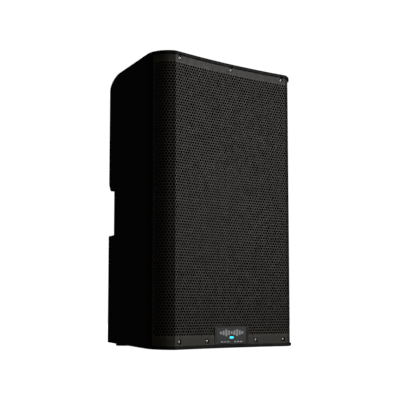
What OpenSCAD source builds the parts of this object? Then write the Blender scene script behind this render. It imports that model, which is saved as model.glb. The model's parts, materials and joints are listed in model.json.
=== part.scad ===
// Powered two-way loudspeaker cabinet: enclosure, wrap-round grille, woofer, horn and rear amplifier.
// Millimetres. +Z is up, the grille faces -Y, and the origin is on the floor under the cabinet's middle.

/* [Cabinet] */
// Overall height, feet included
cab_h = 519; // [516:1:524]
// Overall width over the round front corners
cab_w = 320; // [318:1:322]
// Overall depth, from the front creases to the rear face
cab_d = 300; // [298:1:304]
// Thickness of the moulded walls
wall_t = 5; // [4:0.5:6]
// Radius of the round front corners, seen from above
corner_r = 42; // [40:1:44]
// Half the distance between the two front creases
crease_x = 130; // [128:1:132]
// Depth of the hollow across the front face, seen from above
front_sag = 7; // [5:0.5:8]
// Angle at which the sides narrow towards the back
side_taper = 11.1; // [10:0.1:12]
// Angle at which the rear facets narrow towards the back
facet_taper = 33.5; // [33:0.5:35]
// Depth of the rear facets, from the side edges to the rear face
facet_d = 71.5; // [70:0.5:74]
// Radius of the round rear top edge
rear_top_r = 25; // [20:1:28]
// Radius of the top edge at the front and sides
top_edge_r = 2.5; // [1.5:0.5:4]
// Height that the feet hold the front edge off the floor
foot_gap = 1.5; // [1:0.5:2.5]
// Angle at which the underside rises towards the back
underside_rise = 1.5; // [1:0.1:2]
// Depth of the front baffle moulding, from the creases to the seam
seam_depth = 47; // [46:1:50]

/* [Grille] */
// Thickness of the steel sheet
grille_t = 1.2; // [1:0.1:1.5]
// Distance of the grille behind the outline of the top lip
grille_set = 2.5; // [2.5:0.5:3.5]
// Depth at which the wrapped ends of the grille stop
grille_end_depth = 32; // [31:0.5:34]
// Thickness of the top lip that overhangs the grille
lip_t = 6; // [5:0.5:7]
// Height of the bottom sill above the floor
sill_top = 7.3; // [6.5:0.1:8]
// Height of the plain top band of the grille
top_band_h = 12.6; // [12:0.1:14]
// Height of the plain bottom band of the grille
bottom_band_h = 16.5; // [15:0.5:18]
// Thickness of the foam behind the grille
foam_t = 4; // [3:0.5:4.5]
// Distance of the outer grille screws from the middle
screw_x = 120; // [118:1:121]
// Distance of the inner bottom screws from the middle
inner_screw_x = 56.5; // [54:0.5:60]

/* [Drivers] */
// Radius of the woofer frame
woofer_r = 126; // [124:1:127]
// Height of the woofer axis
woofer_z = 160; // [159:1:164]
// Radius of the cone at its outer edge
cone_r = 97.2; // [97:0.1:97.4]
// Travel of the cone each way
cone_travel = 5; // [3:0.5:5]
// Height of the horn axis
horn_z = 396; // [394:1:398]
// Radius of the horn mouth
mouth_r = 82; // [80:1:83]
// Depth of the horn from its flange to the driver
horn_depth = 72; // [70:1:76]
// Inner radius of the port tubes
port_r = 20.5; // [19:0.5:21]
// Length of the port tubes
port_len = 96; // [80:1:100]

/* [Rear] */
// Half the width of the amplifier panel
panel_x = 59; // [58:0.5:60]
// Bottom edge of the amplifier panel
panel_z0 = 90; // [88:1:94]
// Top edge of the amplifier panel
panel_z1 = 410; // [408:1:414]
// Depth of the amplifier panel behind the rear face
panel_set = 12; // [11:0.5:13]
// Thickness of the amplifier panel
panel_t = 3; // [2:0.5:3]
// Bottom of the hand-holds in the rear side edges
grip_z0 = 210; // [206:1:214]
// Top of the hand-holds
grip_z1 = 309; // [305:1:312]
// Depth of the step that the hand-holds cut across the rear facets
grip_step = 10; // [8:0.5:11]
// Depth of the finger pockets of the hand-holds
grip_pocket = 24; // [20:1:26]
// Radius of the pole socket bores, for a 35 mm pole
pole_r = 17.8; // [17.7:0.1:18]
// Height of the closed top of the pole socket bores
pole_top_z = 88; // [80:1:88]
// Backward lean of the second pole bore
pole_lean = 7.5; // [5:0.5:7.5]

/* [Hidden] */
$fn = 72;
slip = 0.3;
fit = 0.1;
front_y = -cab_d / 2;
rear_y = cab_d / 2;
seam_y = front_y + seam_depth;
lip_under = cab_h - lip_t;
corner_cx = cab_w / 2 - corner_r;
crease_drop = sqrt(corner_r * corner_r - (crease_x - corner_cx) * (crease_x - corner_cx));
corner_c = [corner_cx, front_y + crease_drop];
rear_edge_r = 5;
side_dist = corner_c[0] * cos(side_taper) + corner_c[1] * sin(side_taper) + corner_r;
facet_y = rear_y - facet_d;
facet_x = (side_dist - facet_y * sin(side_taper)) / cos(side_taper);
facet_dist = facet_x * cos(facet_taper) + facet_y * sin(facet_taper);
grille_end_y = front_y + grille_end_depth;
band_z0 = sill_top + bottom_band_h;
band_z1 = lip_under - top_band_h;
bay_set = grille_set + grille_t + slip;
baffle_y = front_y + 28;
baffle_t = 8;
baffle_back_y = baffle_y + baffle_t;
top_screw_z = lip_under - 4.7;
bottom_screw_z = sill_top + 6.9;
dimple_r = 4.8;
dimple_d = 2.4;
grille_screws_at = [
    [-screw_x, top_screw_z], [0, top_screw_z], [screw_x, top_screw_z],
    [-screw_x, bottom_screw_z], [-inner_screw_x, bottom_screw_z],
    [inner_screw_x, bottom_screw_z], [screw_x, bottom_screw_z]
];
badge_x = 40;
badge_z0 = sill_top + 0.5;
badge_z1 = 40.5;
badge_y = front_y + front_sag + 1.2;
driver_screw_r = 2.5;
driver_hole_l = 14;
woofer_hole_r = 116;
horn_hole_room = 4.5;
woofer_screw_ring = 121;
horn_flange_x = 98;
horn_flange_z = 93;
horn_screw_x = 88;
horn_screw_z = 83;
throat_r = 12.7;
port_x = 112;
port_z = 52;
tube_t = 3;
panel_y = rear_y - panel_set;
panel_in_y = panel_y - panel_t;
amp_gasket_t = 1.5;
amp_screw_x = panel_x - 4;
amp_screw_zs = [panel_z0 + 4, panel_z0 + 82, (panel_z0 + panel_z1) / 2, panel_z1 - 82, panel_z1 - 4];
case_screw_x = 140;
case_screw_zs = [70, 200, 330, 460];
well_floor = cab_h - 47;
well_x = 68;
well_y0 = -50;
well_y1 = 30;
bar_x = 90;
bar_w = 26;
bar_t = 15;
bar_y = (well_y0 + well_y1) / 2;
pole_y = 22;
lean_pole_y = 74;
pole_wall = 4;
insert_r = 9;
m10_r = 4.25;
insert_l = 20;
top_insert_x = 112;
top_insert_y = -30;
rear_insert_z = 52;
feet_at = [[-105, -78], [105, -78], [-78, 92], [78, 92]];
foot_r = 16;
knob_x = 40;
knob_z = 388;
knob_r = 9;
pot_shaft_r = 3;
shaft_play = 0.05;
combo_z = 360;
combo_r = 11.5;
output_z = 308;
output_xs = [-40, 0, 40];
line_zs = [342, 359];
slider_xs = [-15, 0, 15];
slider_z = 388;
slider_travel = 2;
latch_travel = 1.5;
inlet_x = -28;
inlet_z = 265;
rocker_x = 30;
rocker_tilt = 8;
pivot_r = 1.2;
lamp_xs = [-21, -7, 7, 21];
lamp_z = 399;
sink_x = 50;
sink_z0 = 104;
sink_z1 = 244;
amp_board_y = 98;
input_board_y = 111;
lead_r = 2;
lead_sides = 8;
woofer_route = [
    [40, 97.5, 160], [40, 88, 160], [46, 68, 158], [58, 46, 156], [70, 22, 155], [80, -2, 156],
    [85, -26, 158], [85, -46, 160], [82.5, -66, 160]
];
hf_route = [
    [40, 97.5, 180], [40, 86, 180], [46, 72, 200], [54, 56, 240], [56, 36, 290], [54, 16, 340], [52, 4, 375],
    [49, -4, 390], [44, -9, 396]
];

// ---- geometry helpers ----

function arc_points(c, r, a0, a1, n) =
    [for (i = [0:n]) c + r * [cos(a0 + (a1 - a0) * i / n), sin(a0 + (a1 - a0) * i / n)]];

// Where two straight lines meet, each given by the angle of its normal and its distance from the origin.
function lines_meet(a1, d1, a2, d2) =
    [d1 * sin(a2) - d2 * sin(a1), d2 * cos(a1) - d1 * cos(a2)] / sin(a2 - a1);

function mirror_back(points) = [for (i = [len(points) - 1:-1:1]) [-points[i][0], points[i][1]]];

// Y of the hollow front face at x, set back by w.
function face_y(x, w) = front_y + w + front_sag * (1 - x * x / (crease_x * crease_x));

// Right half of the cabinet seen from above, set in by w, and its rear by another q.
function plan_right(w, q) =
    let (crease_a = -asin((crease_drop - w) / (corner_r - w)))
    let (cx = corner_c[0] + (corner_r - w) * cos(crease_a))
    let (side_c = lines_meet(side_taper, side_dist - w - rear_edge_r,
        facet_taper, facet_dist - w - q - rear_edge_r))
    let (rear_c = lines_meet(facet_taper, facet_dist - w - q - rear_edge_r,
        90, rear_y - w - q - rear_edge_r))
    concat(
        [for (i = [0:9]) let (s = i / 10) [s * cx, front_y + w + front_sag * (1 - s * s)]],
        arc_points(corner_c, corner_r - w, crease_a, side_taper, 14),
        arc_points(side_c, rear_edge_r, side_taper, facet_taper, 3),
        arc_points(rear_c, rear_edge_r, facet_taper, 90, 5)
    );

function plan(w, q = 0) = let (right = plan_right(w, q)) concat(right, mirror_back(right));

// How far a round edge of radius r is set in, at a distance below its top.
function edge_in(r, below) = below >= r ? 0 : r - sqrt(r * r - (r - below) * (r - below));

module block(lo, hi) {
    translate(lo) cube(hi - lo);
}

module pin_z(x, y, z0, z1, r) {
    translate([x, y, z0]) cylinder(h = z1 - z0, r = r);
}

module pin_y(x, z, y0, y1, r) {
    translate([x, y0, z]) rotate([-90, 0, 0]) cylinder(h = y1 - y0, r = r);
}

// Hexagonal bars, of radius r over their corners.
module hex_z(x, y, z0, z1, r) {
    translate([x, y, z0]) cylinder(h = z1 - z0, r = r, $fn = 6);
}

module hex_y(x, z, y0, y1, r) {
    translate([x, y0, z]) rotate([-90, 0, 0]) cylinder(h = y1 - y0, r = r, $fn = 6);
}

module rounded_slab(x, y, t, r) {
    linear_extrude(t) polygon(concat(
        arc_points([x - r, y - r], r, 0, 90, 6), arc_points([r - x, y - r], r, 90, 180, 6),
        arc_points([r - x, r - y], r, 180, 270, 6), arc_points([x - r, r - y], r, 270, 360, 6)));
}

// Height of the sloping underside at y, set in by w.
function under_z(y, w = 0) = foot_gap + w + (y - front_y) * tan(underside_rise);

// Everything below the sloping underside, set in by w.
module underside(w) {
    translate([0, front_y, foot_gap + w]) rotate([underside_rise, 0, 0])
        block([-cab_w, -cab_d, -100], [cab_w, 2 * cab_d, 0]);
}

// Places what it holds on the front of the baffle at (x, z), with its +Z pointing out to the front.
module on_baffle(x, z) {
    translate([x, baffle_y, z]) rotate([90, 0, 0]) children();
}

// A closed skin through rings of points, lowest ring first, each with as many points as the next.
module loft(rings) {
    n = len(rings[0]);
    last = len(rings) - 1;
    polyhedron(
        points = [for (ring = rings, p = ring) p],
        faces = concat(
            [[for (i = [0:n - 1]) i], [for (i = [n - 1:-1:0]) last * n + i]],
            [for (k = [0:last - 1], i = [0:n - 1])
                [k * n + i, (k + 1) * n + i, (k + 1) * n + (i + 1) % n]],
            [for (k = [0:last - 1], i = [0:n - 1])
                [k * n + i, (k + 1) * n + (i + 1) % n, k * n + (i + 1) % n]]
        )
    );
}

function raised(points, z) = [for (p = points) [p[0], p[1], z]];

// The whole cabinet as a solid, set in by w all round.
module cabinet_solid(w) {
    round_r = rear_top_r - w;
    top = cab_h - w;
    loft(concat(
        [[for (p = plan(w)) [p[0], p[1], under_z(p[1], w)]]],
        [for (a = [0:15:75])
            raised(plan(w + edge_in(top_edge_r, round_r * (1 - sin(a))), round_r * (1 - cos(a))),
                top - round_r * (1 - sin(a)))],
        [raised(plan(w + top_edge_r, round_r - top_edge_r), top)]
    ));
}

module ring(r_in, r_out, z0, z1) {
    translate([0, 0, z0]) difference() {
        cylinder(h = z1 - z0, r = r_out);
        translate([0, 0, -1]) cylinder(h = z1 - z0 + 2, r = r_in);
    }
}

module around(n, r, start = 0) {
    for (i = [0:n - 1]) rotate([0, 0, start + i * 360 / n]) translate([r, 0, 0]) children();
}

// ---- enclosure ----

module grille_bay() {
    difference() {
        block([-cab_w, front_y - 1, sill_top], [cab_w, grille_end_y, lip_under]);
        linear_extrude(cab_h) polygon(plan(bay_set));
    }
    difference() {
        block([-cab_w, front_y - 1, band_z0], [cab_w, grille_end_y, band_z1]);
        linear_extrude(cab_h) polygon(plan(bay_set + foam_t + slip));
    }
    block([-cab_w, front_y - 1, band_z0], [cab_w, baffle_y, band_z1]);
}

module case_bosses(y0, y1) {
    for (side = [-1, 1], z = case_screw_zs)
        block([side > 0 ? case_screw_x - 7 : -cab_w / 2, y0, z - 7],
            [side > 0 ? cab_w / 2 : 7 - case_screw_x, y1, z + 7]);
}

// The front of the cabinet as an upright prism, set in by w, from y0 back to y1.
module front_prism(w, y0, y1) {
    difference() {
        intersection() {
            translate([0, 0, foot_gap]) linear_extrude(cab_h - foot_gap - w) polygon(plan(w));
            block([-cab_w, y0, 0], [cab_w, y1, cab_h + 1]);
        }
        underside(w);
    }
}

module driver_screw_hole() {
    translate([0, 0, -driver_hole_l]) cylinder(h = driver_hole_l + 1, r = driver_screw_r + fit);
}

module baffle_hole(x, z, r) {
    on_baffle(x, z) translate([0, 0, -baffle_t - 1]) cylinder(h = baffle_t + 2, r = r);
}

module front_baffle() {
    color([0.09, 0.09, 0.095]) difference() {
        front_prism(0, front_y - 1, seam_y - 0.5);
        grille_bay();
        difference() {
            front_prism(wall_t, baffle_back_y, seam_y + 1);
            case_bosses(baffle_back_y - 1, seam_y + 2);
        }
        baffle_hole(0, woofer_z, woofer_hole_r);
        baffle_hole(0, horn_z, mouth_r + horn_hole_room);
        for (x = [-port_x, port_x]) baffle_hole(x, port_z, port_r + tube_t + fit);
        on_baffle(0, woofer_z) around(8, woofer_screw_ring, 22.5) driver_screw_hole();
        for (x = [-horn_screw_x, horn_screw_x], z = [-horn_screw_z, horn_screw_z])
            on_baffle(x, horn_z + z) driver_screw_hole();
        for (side = [-1, 1], z = case_screw_zs)
            pin_y(side * case_screw_x, z, baffle_y - 1, seam_y, 2.1);
        for (at = grille_screws_at) {
            pin_y(at[0], at[1], front_y, face_y(at[0], grille_set) + dimple_d + 1.4, dimple_r + 1.2);
            pin_y(at[0], at[1], front_y, face_y(at[0], grille_set) + 15, 2.1);
        }
        block([-badge_x - 0.4, front_y - 1, sill_top + 0.2],
            [badge_x + 0.4, baffle_y - 12.6, badge_z1 + 0.4]);
        block([-22, front_y - 1, 11], [22, baffle_y - 8, 35]);
    }
}

// A shallow step across the rear facet, with a deeper pocket for the fingers at its front end.
module grip_cut(side, grow) {
    along = [-sin(facet_taper), cos(facet_taper)];
    inward = [-cos(facet_taper), -sin(facet_taper)];
    corner = [facet_x, facet_y];
    pocket = corner + inward * (grip_pocket + grow);
    step = corner + inward * (grip_step + grow);
    outline = [
        [facet_x + 12, facet_y - 30 - grow],
        pocket - along * 6,
        pocket + along * 44,
        step + along * 56,
        step + along * 120,
        corner + along * 120 - inward * 30,
        [cab_w / 2 + 20, facet_y]
    ];
    translate([0, 0, grip_z0 - grow]) linear_extrude(grip_z1 - grip_z0 + 2 * grow)
        polygon([for (p = outline) [side * p[0], p[1]]]);
}

module rear_shell() {
    color([0.09, 0.09, 0.095]) difference() {
        intersection() {
            cabinet_solid(0);
            block([-cab_w, seam_y + 0.5, 0], [cab_w, rear_y + 1, cab_h + 1]);
        }
        difference() {
            cabinet_solid(wall_t);
            block([-panel_x - 7, panel_in_y - 8, panel_z0 - 7], [panel_x + 7, rear_y, panel_z1 + 7]);
            for (side = [-1, 1]) grip_cut(side, wall_t - 1);
            block([-well_x - 4, well_y0 - 4, well_floor - 4], [well_x + 4, well_y1 + 4, cab_h]);
            block([-bar_x - 6, bar_y - bar_w / 2 - 4, cab_h - bar_t - 7],
                [bar_x + 6, bar_y + bar_w / 2 + 4, cab_h]);
            intersection() {
                block([-44, -20, 0], [44, 114, 60]);
                underside(wall_t + 4);
            }
            for (x = [-top_insert_x, top_insert_x]) pin_z(x, top_insert_y, cab_h - insert_l - 6, cab_h, 14);
            pin_y(0, rear_insert_z, rear_y - insert_l - 6, rear_y, 14);
            case_bosses(seam_y, seam_y + 22);
        }
        for (side = [-1, 1]) grip_cut(side, 0);
        block([-panel_x - 0.5, panel_in_y - amp_gasket_t, panel_z0 - 0.5],
            [panel_x + 0.5, rear_y + 1, panel_z1 + 0.5]);
        block([-panel_x + 7, panel_in_y - 20, panel_z0 + 7], [panel_x - 7, rear_y + 1, panel_z1 - 7]);
        block([-well_x, well_y0, well_floor], [well_x, well_y1, cab_h + 1]);
        block([-bar_x - slip, bar_y - bar_w / 2 - slip, cab_h - bar_t - 1],
            [bar_x + slip, bar_y + bar_w / 2 + slip, cab_h + 1]);
        intersection() {
            block([-36.3, -14.3, 0], [36.3, 110.3, 60]);
            underside(4);
        }
        block([-25, -3, 0], [25, 103, 30]);
        for (x = [-31, 31], y = [-9, 105]) pin_z(x, y, 0, under_z(y) + 8.6, 2.1);
        for (x = [-top_insert_x, top_insert_x])
            hex_z(x, top_insert_y, cab_h - insert_l - 2, cab_h + 1, insert_r + 0.1);
        hex_y(0, rear_insert_z, rear_y - insert_l - 2, rear_y + 1, insert_r + 0.1);
        for (at = feet_at) pin_z(at[0], at[1], 0, under_z(at[1], 2.6), foot_r + 0.2);
        for (side = [-1, 1], z = case_screw_zs)
            pin_y(side * case_screw_x, z, seam_y, seam_y + 18, 2.1);
        for (x = [-bar_x + 9, bar_x - 9]) pin_z(x, bar_y, cab_h - bar_t - 6, cab_h, 2.1);
        for (x = [-amp_screw_x, amp_screw_x], z = amp_screw_zs)
            pin_y(x, z, panel_in_y - 10, panel_in_y, 1.6);
    }
}

module seam_gasket() {
    color([0.05, 0.05, 0.05]) difference() {
        front_prism(1.2, seam_y - 0.5, seam_y + 0.5);
        front_prism(3.8, seam_y - 2, seam_y + 2);
    }
}

module case_screws() {
    color("dimgray") {
        for (side = [-1, 1], z = case_screw_zs) {
            pin_y(side * case_screw_x, z, baffle_y - 2.4, baffle_y, 4);
            pin_y(side * case_screw_x, z, baffle_y, seam_y + 16, 2);
        }
        for (x = [-31, 31], y = [-9, 105]) {
            pin_z(x, y, under_z(y, 0.6), under_z(y, 2.2), 4);
            pin_z(x, y, under_z(y, 2.2), under_z(y, 8), 2);
        }
        for (x = [-bar_x + 9, bar_x - 9]) {
            pin_z(x, bar_y, cab_h - 3, cab_h - 1, 4);
            pin_z(x, bar_y, cab_h - bar_t - 5, cab_h - 3, 2);
        }
    }
}

module damping_foam() {
    color([0.25, 0.25, 0.27]) for (side = [-1, 1])
        mirror([side < 0 ? 1 : 0, 0, 0]) translate([facet_x, facet_y, 85]) rotate([0, 0, side_taper])
            translate([-wall_t - 11, -132, 0]) cube([10, 90, 365]);
}

module feet() {
    color([0.06, 0.06, 0.06]) for (at = feet_at) translate([at[0], at[1], 0]) {
        cylinder(h = 1, r1 = foot_r - 1, r2 = foot_r);
        translate([0, 0, 1]) cylinder(h = under_z(at[1], 1.5), r = foot_r);
    }
}

module handle_bar() {
    z0 = cab_h - bar_t - 1;
    color([0.2, 0.2, 0.21]) difference() {
        translate([-bar_x, bar_y, z0 + bar_t / 2]) rotate([90, 0, 90])
            rounded_slab(bar_w / 2, bar_t / 2, 2 * bar_x, 5);
        for (x = [-bar_x + 9, bar_x - 9]) {
            pin_z(x, bar_y, z0 - 1, cab_h, 2.2);
            pin_z(x, bar_y, cab_h - 3, cab_h, 4.3);
        }
    }
}

module rigging_inserts() {
    color([0.55, 0.55, 0.57]) {
        for (x = [-top_insert_x, top_insert_x]) difference() {
            hex_z(x, top_insert_y, cab_h - insert_l - 1, cab_h - 1, insert_r);
            pin_z(x, top_insert_y, cab_h - insert_l, cab_h, m10_r);
        }
        difference() {
            hex_y(0, rear_insert_z, rear_y - insert_l - 1, rear_y - 1, insert_r);
            pin_y(0, rear_insert_z, rear_y - insert_l, rear_y, m10_r);
        }
    }
}

// A cylinder up the second pole bore, which leans back.
module lean_pin(r, z1) {
    translate([0, lean_pole_y, foot_gap]) rotate([-pole_lean, 0, 0]) translate([0, 0, -10])
        cylinder(h = z1 - foot_gap + 10, r = r);
}

module pole_socket() {
    color([0.1, 0.1, 0.1]) difference() {
        union() {
            intersection() {
                block([-36, -14, 0], [36, 110, 60]);
                underside(3.8);
            }
            pin_z(0, pole_y, foot_gap, pole_top_z + 3, pole_r + pole_wall);
            lean_pin(pole_r + pole_wall, pole_top_z + 3);
        }
        underside(0.2);
        pin_z(0, pole_y, -1, pole_top_z, pole_r);
        lean_pin(pole_r, pole_top_z);
        for (x = [-31, 31], y = [-9, 105]) {
            pin_z(x, y, 0, under_z(y, 5), 2.2);
            pin_z(x, y, 0, under_z(y, 2.2), 4.3);
        }
    }
}

// ---- grille and badge ----

module grille_sheet(w, t, z0, z1, end_y) {
    difference() {
        intersection() {
            translate([0, 0, z0]) linear_extrude(z1 - z0) polygon(plan(w));
            block([-cab_w, front_y - 1, z0], [cab_w, end_y, z1]);
        }
        translate([0, 0, z0 - 1]) linear_extrude(z1 - z0 + 2) polygon(plan(w + t));
    }
}

module grille() {
    color([0.2, 0.2, 0.19]) difference() {
        union() {
            difference() {
                grille_sheet(grille_set, grille_t, sill_top + 0.4, lip_under - 0.3, grille_end_y - slip);
                for (at = grille_screws_at)
                    pin_y(at[0], at[1], front_y - 1, face_y(at[0], grille_set) + 6, dimple_r);
            }
            for (at = grille_screws_at) translate([at[0], face_y(at[0], grille_set) + dimple_d, at[1]])
                rotate([90, 0, 0]) ring(2.2, dimple_r + 0.4, -0.4, 0.4);
            for (at = grille_screws_at) translate([at[0], face_y(at[0], grille_set) + dimple_d, at[1]])
                rotate([90, 0, 0]) ring(dimple_r - 0.2, dimple_r + 0.4, 0, dimple_d - 0.5);
        }
        block([-badge_x - slip, front_y - 1, 0], [badge_x + slip, baffle_y, badge_z1 + slip]);
    }
}

module grille_foam() {
    color([0.03, 0.03, 0.03]) difference() {
        grille_sheet(bay_set, foam_t, band_z0 + 1, band_z1 - 1, baffle_y - 1);
        block([-badge_x - 2, front_y - 1, 0], [badge_x + 2, baffle_y, badge_z1 + 2]);
    }
}

module grille_screws() {
    color([0.6, 0.6, 0.6]) for (at = grille_screws_at)
        translate([at[0], face_y(at[0], grille_set) + dimple_d - 0.4, at[1]]) rotate([90, 0, 0])
            difference() {
                union() {
                    cylinder(h = 1.6, r = 4);
                    translate([0, 0, -11]) cylinder(h = 11.5, r = 2);
                }
                translate([0, 0, 0.6]) cylinder(h = 2, r = 1.6, $fn = 6);
            }
}

module badge_bezel() {
    color([0.05, 0.05, 0.05]) difference() {
        translate([0, badge_y + 6, (badge_z0 + badge_z1) / 2]) rotate([90, 0, 0])
            rounded_slab(badge_x, (badge_z1 - badge_z0) / 2, 6, 2.5);
        block([-35.2, badge_y - 1, badge_z0 + 0.9], [35.2, badge_y + 3, badge_z1 - 2]);
        block([-21, badge_y - 1, 12], [21, badge_y + 7, 34]);
    }
}

module badge_plate() {
    color([0.16, 0.16, 0.17]) difference() {
        block([-35, badge_y + 0.8, badge_z0 + 1.1], [35, badge_y + 2.8, badge_z1 - 2.2]);
        block([-4.1, badge_y, 18.4], [4.1, badge_y + 4, 21.6]);
    }
}

module badge_lamp() {
    color([0.3, 0.9, 1]) block([-4, badge_y + 0.5, 18.5], [4, badge_y + 4, 21.5]);
}

module badge_board() {
    color([0.05, 0.25, 0.12]) {
        block([-18, badge_y + 8, 13], [18, badge_y + 9.6, 33]);
        block([-2.5, badge_y + 6.6, 18.8], [2.5, badge_y + 8, 21.2]);
    }
}

// ---- woofer ----

module woofer_gasket() {
    color([0.08, 0.08, 0.08]) on_baffle(0, woofer_z) difference() {
        ring(116.5, woofer_r, 0, 1.5);
        around(8, woofer_screw_ring, 22.5) translate([0, 0, -1]) cylinder(h = 4, r = 2.8);
    }
}

module woofer_basket() {
    color([0.13, 0.13, 0.13]) on_baffle(0, woofer_z) difference() {
        rotate_extrude() polygon([
            [108, 5.5], [woofer_r, 5.5], [woofer_r, 1.5], [114.2, 1.5], [114.2, -4], [72, -66],
            [72, -72], [34, -72], [34, -69], [69, -69], [69, -65], [110.4, -4.6], [110.4, 2], [108, 3.5]
        ]);
        around(8, woofer_screw_ring, 22.5) translate([0, 0, -1]) cylinder(h = 8, r = 2.8);
        around(6, 92, 30) translate([0, 0, -36]) rotate([0, 57, 0]) translate([0, 0, -20]) basket_window();
    }
}

module basket_window() {
    linear_extrude(40) polygon(concat(
        arc_points([16, 0], 14, -90, 90, 10), arc_points([-16, 0], 8, 90, 270, 8)));
}

module woofer_surround() {
    roll_c = [103.5, 5.9];
    color([0.07, 0.07, 0.07]) on_baffle(0, woofer_z) rotate_extrude() polygon(concat(
        [[116, 5.6], [116, 6.4]],
        arc_points(roll_c, 5.9, 0, 180, 14),
        [[97.6, 6.1], [97.6, 5.3]],
        arc_points(roll_c, 5.1, 180, 0, 14),
        [[108.6, 5.6]]
    ));
}

// Profile of the cone: s runs from 0 at the neck to 1 at the outer edge.
function cone_point(s, lift) = [33.4 + (cone_r - 33.4) * s, -38 + 43 * pow(s, 0.8) + lift];

module woofer_cone() {
    color([0.1, 0.1, 0.1]) on_baffle(0, woofer_z) rotate_extrude() polygon(concat(
        [for (i = [0:14]) cone_point(i / 14, 0)],
        [for (i = [14:-1:0]) cone_point(i / 14, 1)]
    ));
}

module woofer_dust_cap() {
    cap_r = 47;
    rim_r = 40;
    drop = sqrt(cap_r * cap_r - rim_r * rim_r);
    rim_z = cone_point((rim_r - 33.4) / (cone_r - 33.4), 1)[1] + 0.1;
    half_a = acos(rim_r / cap_r);
    color([0.08, 0.08, 0.08]) on_baffle(0, woofer_z) translate([0, 0, rim_z - drop]) rotate_extrude()
        polygon(concat(
            arc_points([0, 0], cap_r, half_a, 90, 12),
            arc_points([0, 0], cap_r - 0.8, 90, half_a, 12)
        ));
}

module woofer_coil() {
    color([0.75, 0.5, 0.3]) on_baffle(0, woofer_z) {
        ring(31.5, 32.2, -86, -37.5);
        ring(32.2, 32.7, -83, -69);
        ring(32.2, 33.3, -38.4, -37.5);
    }
}

module woofer_spider() {
    color([0.7, 0.62, 0.4]) on_baffle(0, woofer_z) rotate_extrude() polygon(concat(
        [for (i = [0:40]) [32.65 + i * 33.35 / 40, -60 + 1.3 * sin(i * 45)]],
        [[68, -60], [68, -69], [66.8, -69], [66.8, -61.2]],
        [for (i = [40:-1:0]) [32.65 + i * 33.35 / 40, -60.6 + 1.3 * sin(i * 45)]]
    ));
}

module woofer_top_plate() {
    color([0.4, 0.4, 0.42]) on_baffle(0, woofer_z) ring(33.2, 60, -80, -72);
}

module woofer_magnet() {
    color([0.18, 0.18, 0.19]) on_baffle(0, woofer_z) ring(42, 75, -98, -80);
}

module woofer_back_plate() {
    color([0.4, 0.4, 0.42]) on_baffle(0, woofer_z) difference() {
        union() {
            translate([0, 0, -105]) cylinder(h = 7, r = 70);
            translate([0, 0, -98]) cylinder(h = 26, r = 30.9);
        }
        translate([0, 0, -106]) cylinder(h = 40, r = 9);
    }
}

module cap_screw(top, shank) {
    difference() {
        union() {
            translate([0, 0, top]) cylinder(h = 3, r = 4.3);
            translate([0, 0, top - shank]) cylinder(h = shank, r = driver_screw_r);
        }
        translate([0, 0, top + 1.2]) cylinder(h = 3, r = 2, $fn = 6);
    }
}

module driver_screws() {
    color([0.15, 0.15, 0.15]) {
        on_baffle(0, woofer_z) around(8, woofer_screw_ring, 22.5) cap_screw(5.5, 17);
        for (x = [-horn_screw_x, horn_screw_x], z = [-horn_screw_z, horn_screw_z])
            on_baffle(x, horn_z + z) cap_screw(4, 16);
    }
}

// ---- horn and high-frequency driver ----

// Horn wall: s runs from 0 at the throat to 1 at the mouth.
function horn_point(s, t) =
    [throat_r + (mouth_r - throat_r) * pow(s, 1.35) + t, -horn_depth + (horn_depth + 4) * s];

module horn() {
    color([0.07, 0.07, 0.07]) on_baffle(0, horn_z) {
        difference() {
            union() {
                rounded_slab(horn_flange_x, horn_flange_z, 4, 12);
                rotate_extrude() polygon(concat(
                    [for (i = [0:16]) horn_point(i / 16, 3.5)],
                    [[0, 4], [0, -horn_depth]]
                ));
                translate([0, 0, -horn_depth]) cylinder(h = 5, r = 46);
            }
            rotate_extrude() polygon(concat(
                [for (i = [0:16]) horn_point(i / 16, 0)],
                [[mouth_r, 5], [0, 5], [0, -horn_depth - 1], [throat_r, -horn_depth - 1]]
            ));
            for (x = [-horn_screw_x, horn_screw_x], z = [-horn_screw_z, horn_screw_z])
                translate([x, z, -1]) cylinder(h = 6, r = driver_screw_r + 0.2);
            for (x = [-38, 38]) translate([x, 0, -horn_depth - 1]) cylinder(h = 7, r = 3.2);
        }
    }
}

module hf_motor() {
    color([0.5, 0.5, 0.52]) on_baffle(0, horn_z) translate([0, 0, -horn_depth]) difference() {
        union() {
            translate([0, 0, -8]) cylinder(h = 8, r = 46);
            translate([0, 0, -28]) cylinder(h = 21, r = 20);
        }
        translate([0, 0, -29]) cylinder(h = 30, r1 = 9, r2 = throat_r);
        for (x = [-38, 38]) translate([x, 0, -9]) cylinder(h = 10, r = 2.9);
    }
}

module hf_magnet() {
    color([0.18, 0.18, 0.19]) on_baffle(0, horn_z) translate([0, 0, -horn_depth]) {
        ring(24, 43, -26, -8);
        ring(23.2, 42, -30, -26);
    }
}

module hf_diaphragm() {
    color([0.6, 0.62, 0.65]) on_baffle(0, horn_z) translate([0, 0, -horn_depth - 30]) {
        rotate_extrude() polygon(concat(
            [[38, 0], [38, -0.5], [22.5, -0.5]],
            arc_points([0, 19], 28, -48, -90, 8),
            arc_points([0, 19], 27.5, -90, -48, 8),
            [[21.5, 0]]
        ));
        ring(21.2, 21.8, 0, 3);
    }
}

module hf_cap() {
    color([0.12, 0.12, 0.12]) on_baffle(0, horn_z) translate([0, 0, -horn_depth - 30.5]) difference() {
        translate([0, 0, -15]) cylinder(h = 15, r = 41);
        translate([0, 0, -12]) cylinder(h = 13, r = 37);
    }
}

module hf_bolts() {
    color([0.6, 0.6, 0.6]) for (x = [-38, 38]) on_baffle(x, horn_z) {
        translate([0, 0, 5 - horn_depth]) cylinder(h = 4, r = 5, $fn = 6);
        translate([0, 0, -horn_depth - 7]) cylinder(h = 12, r = 2.8);
    }
}

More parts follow.
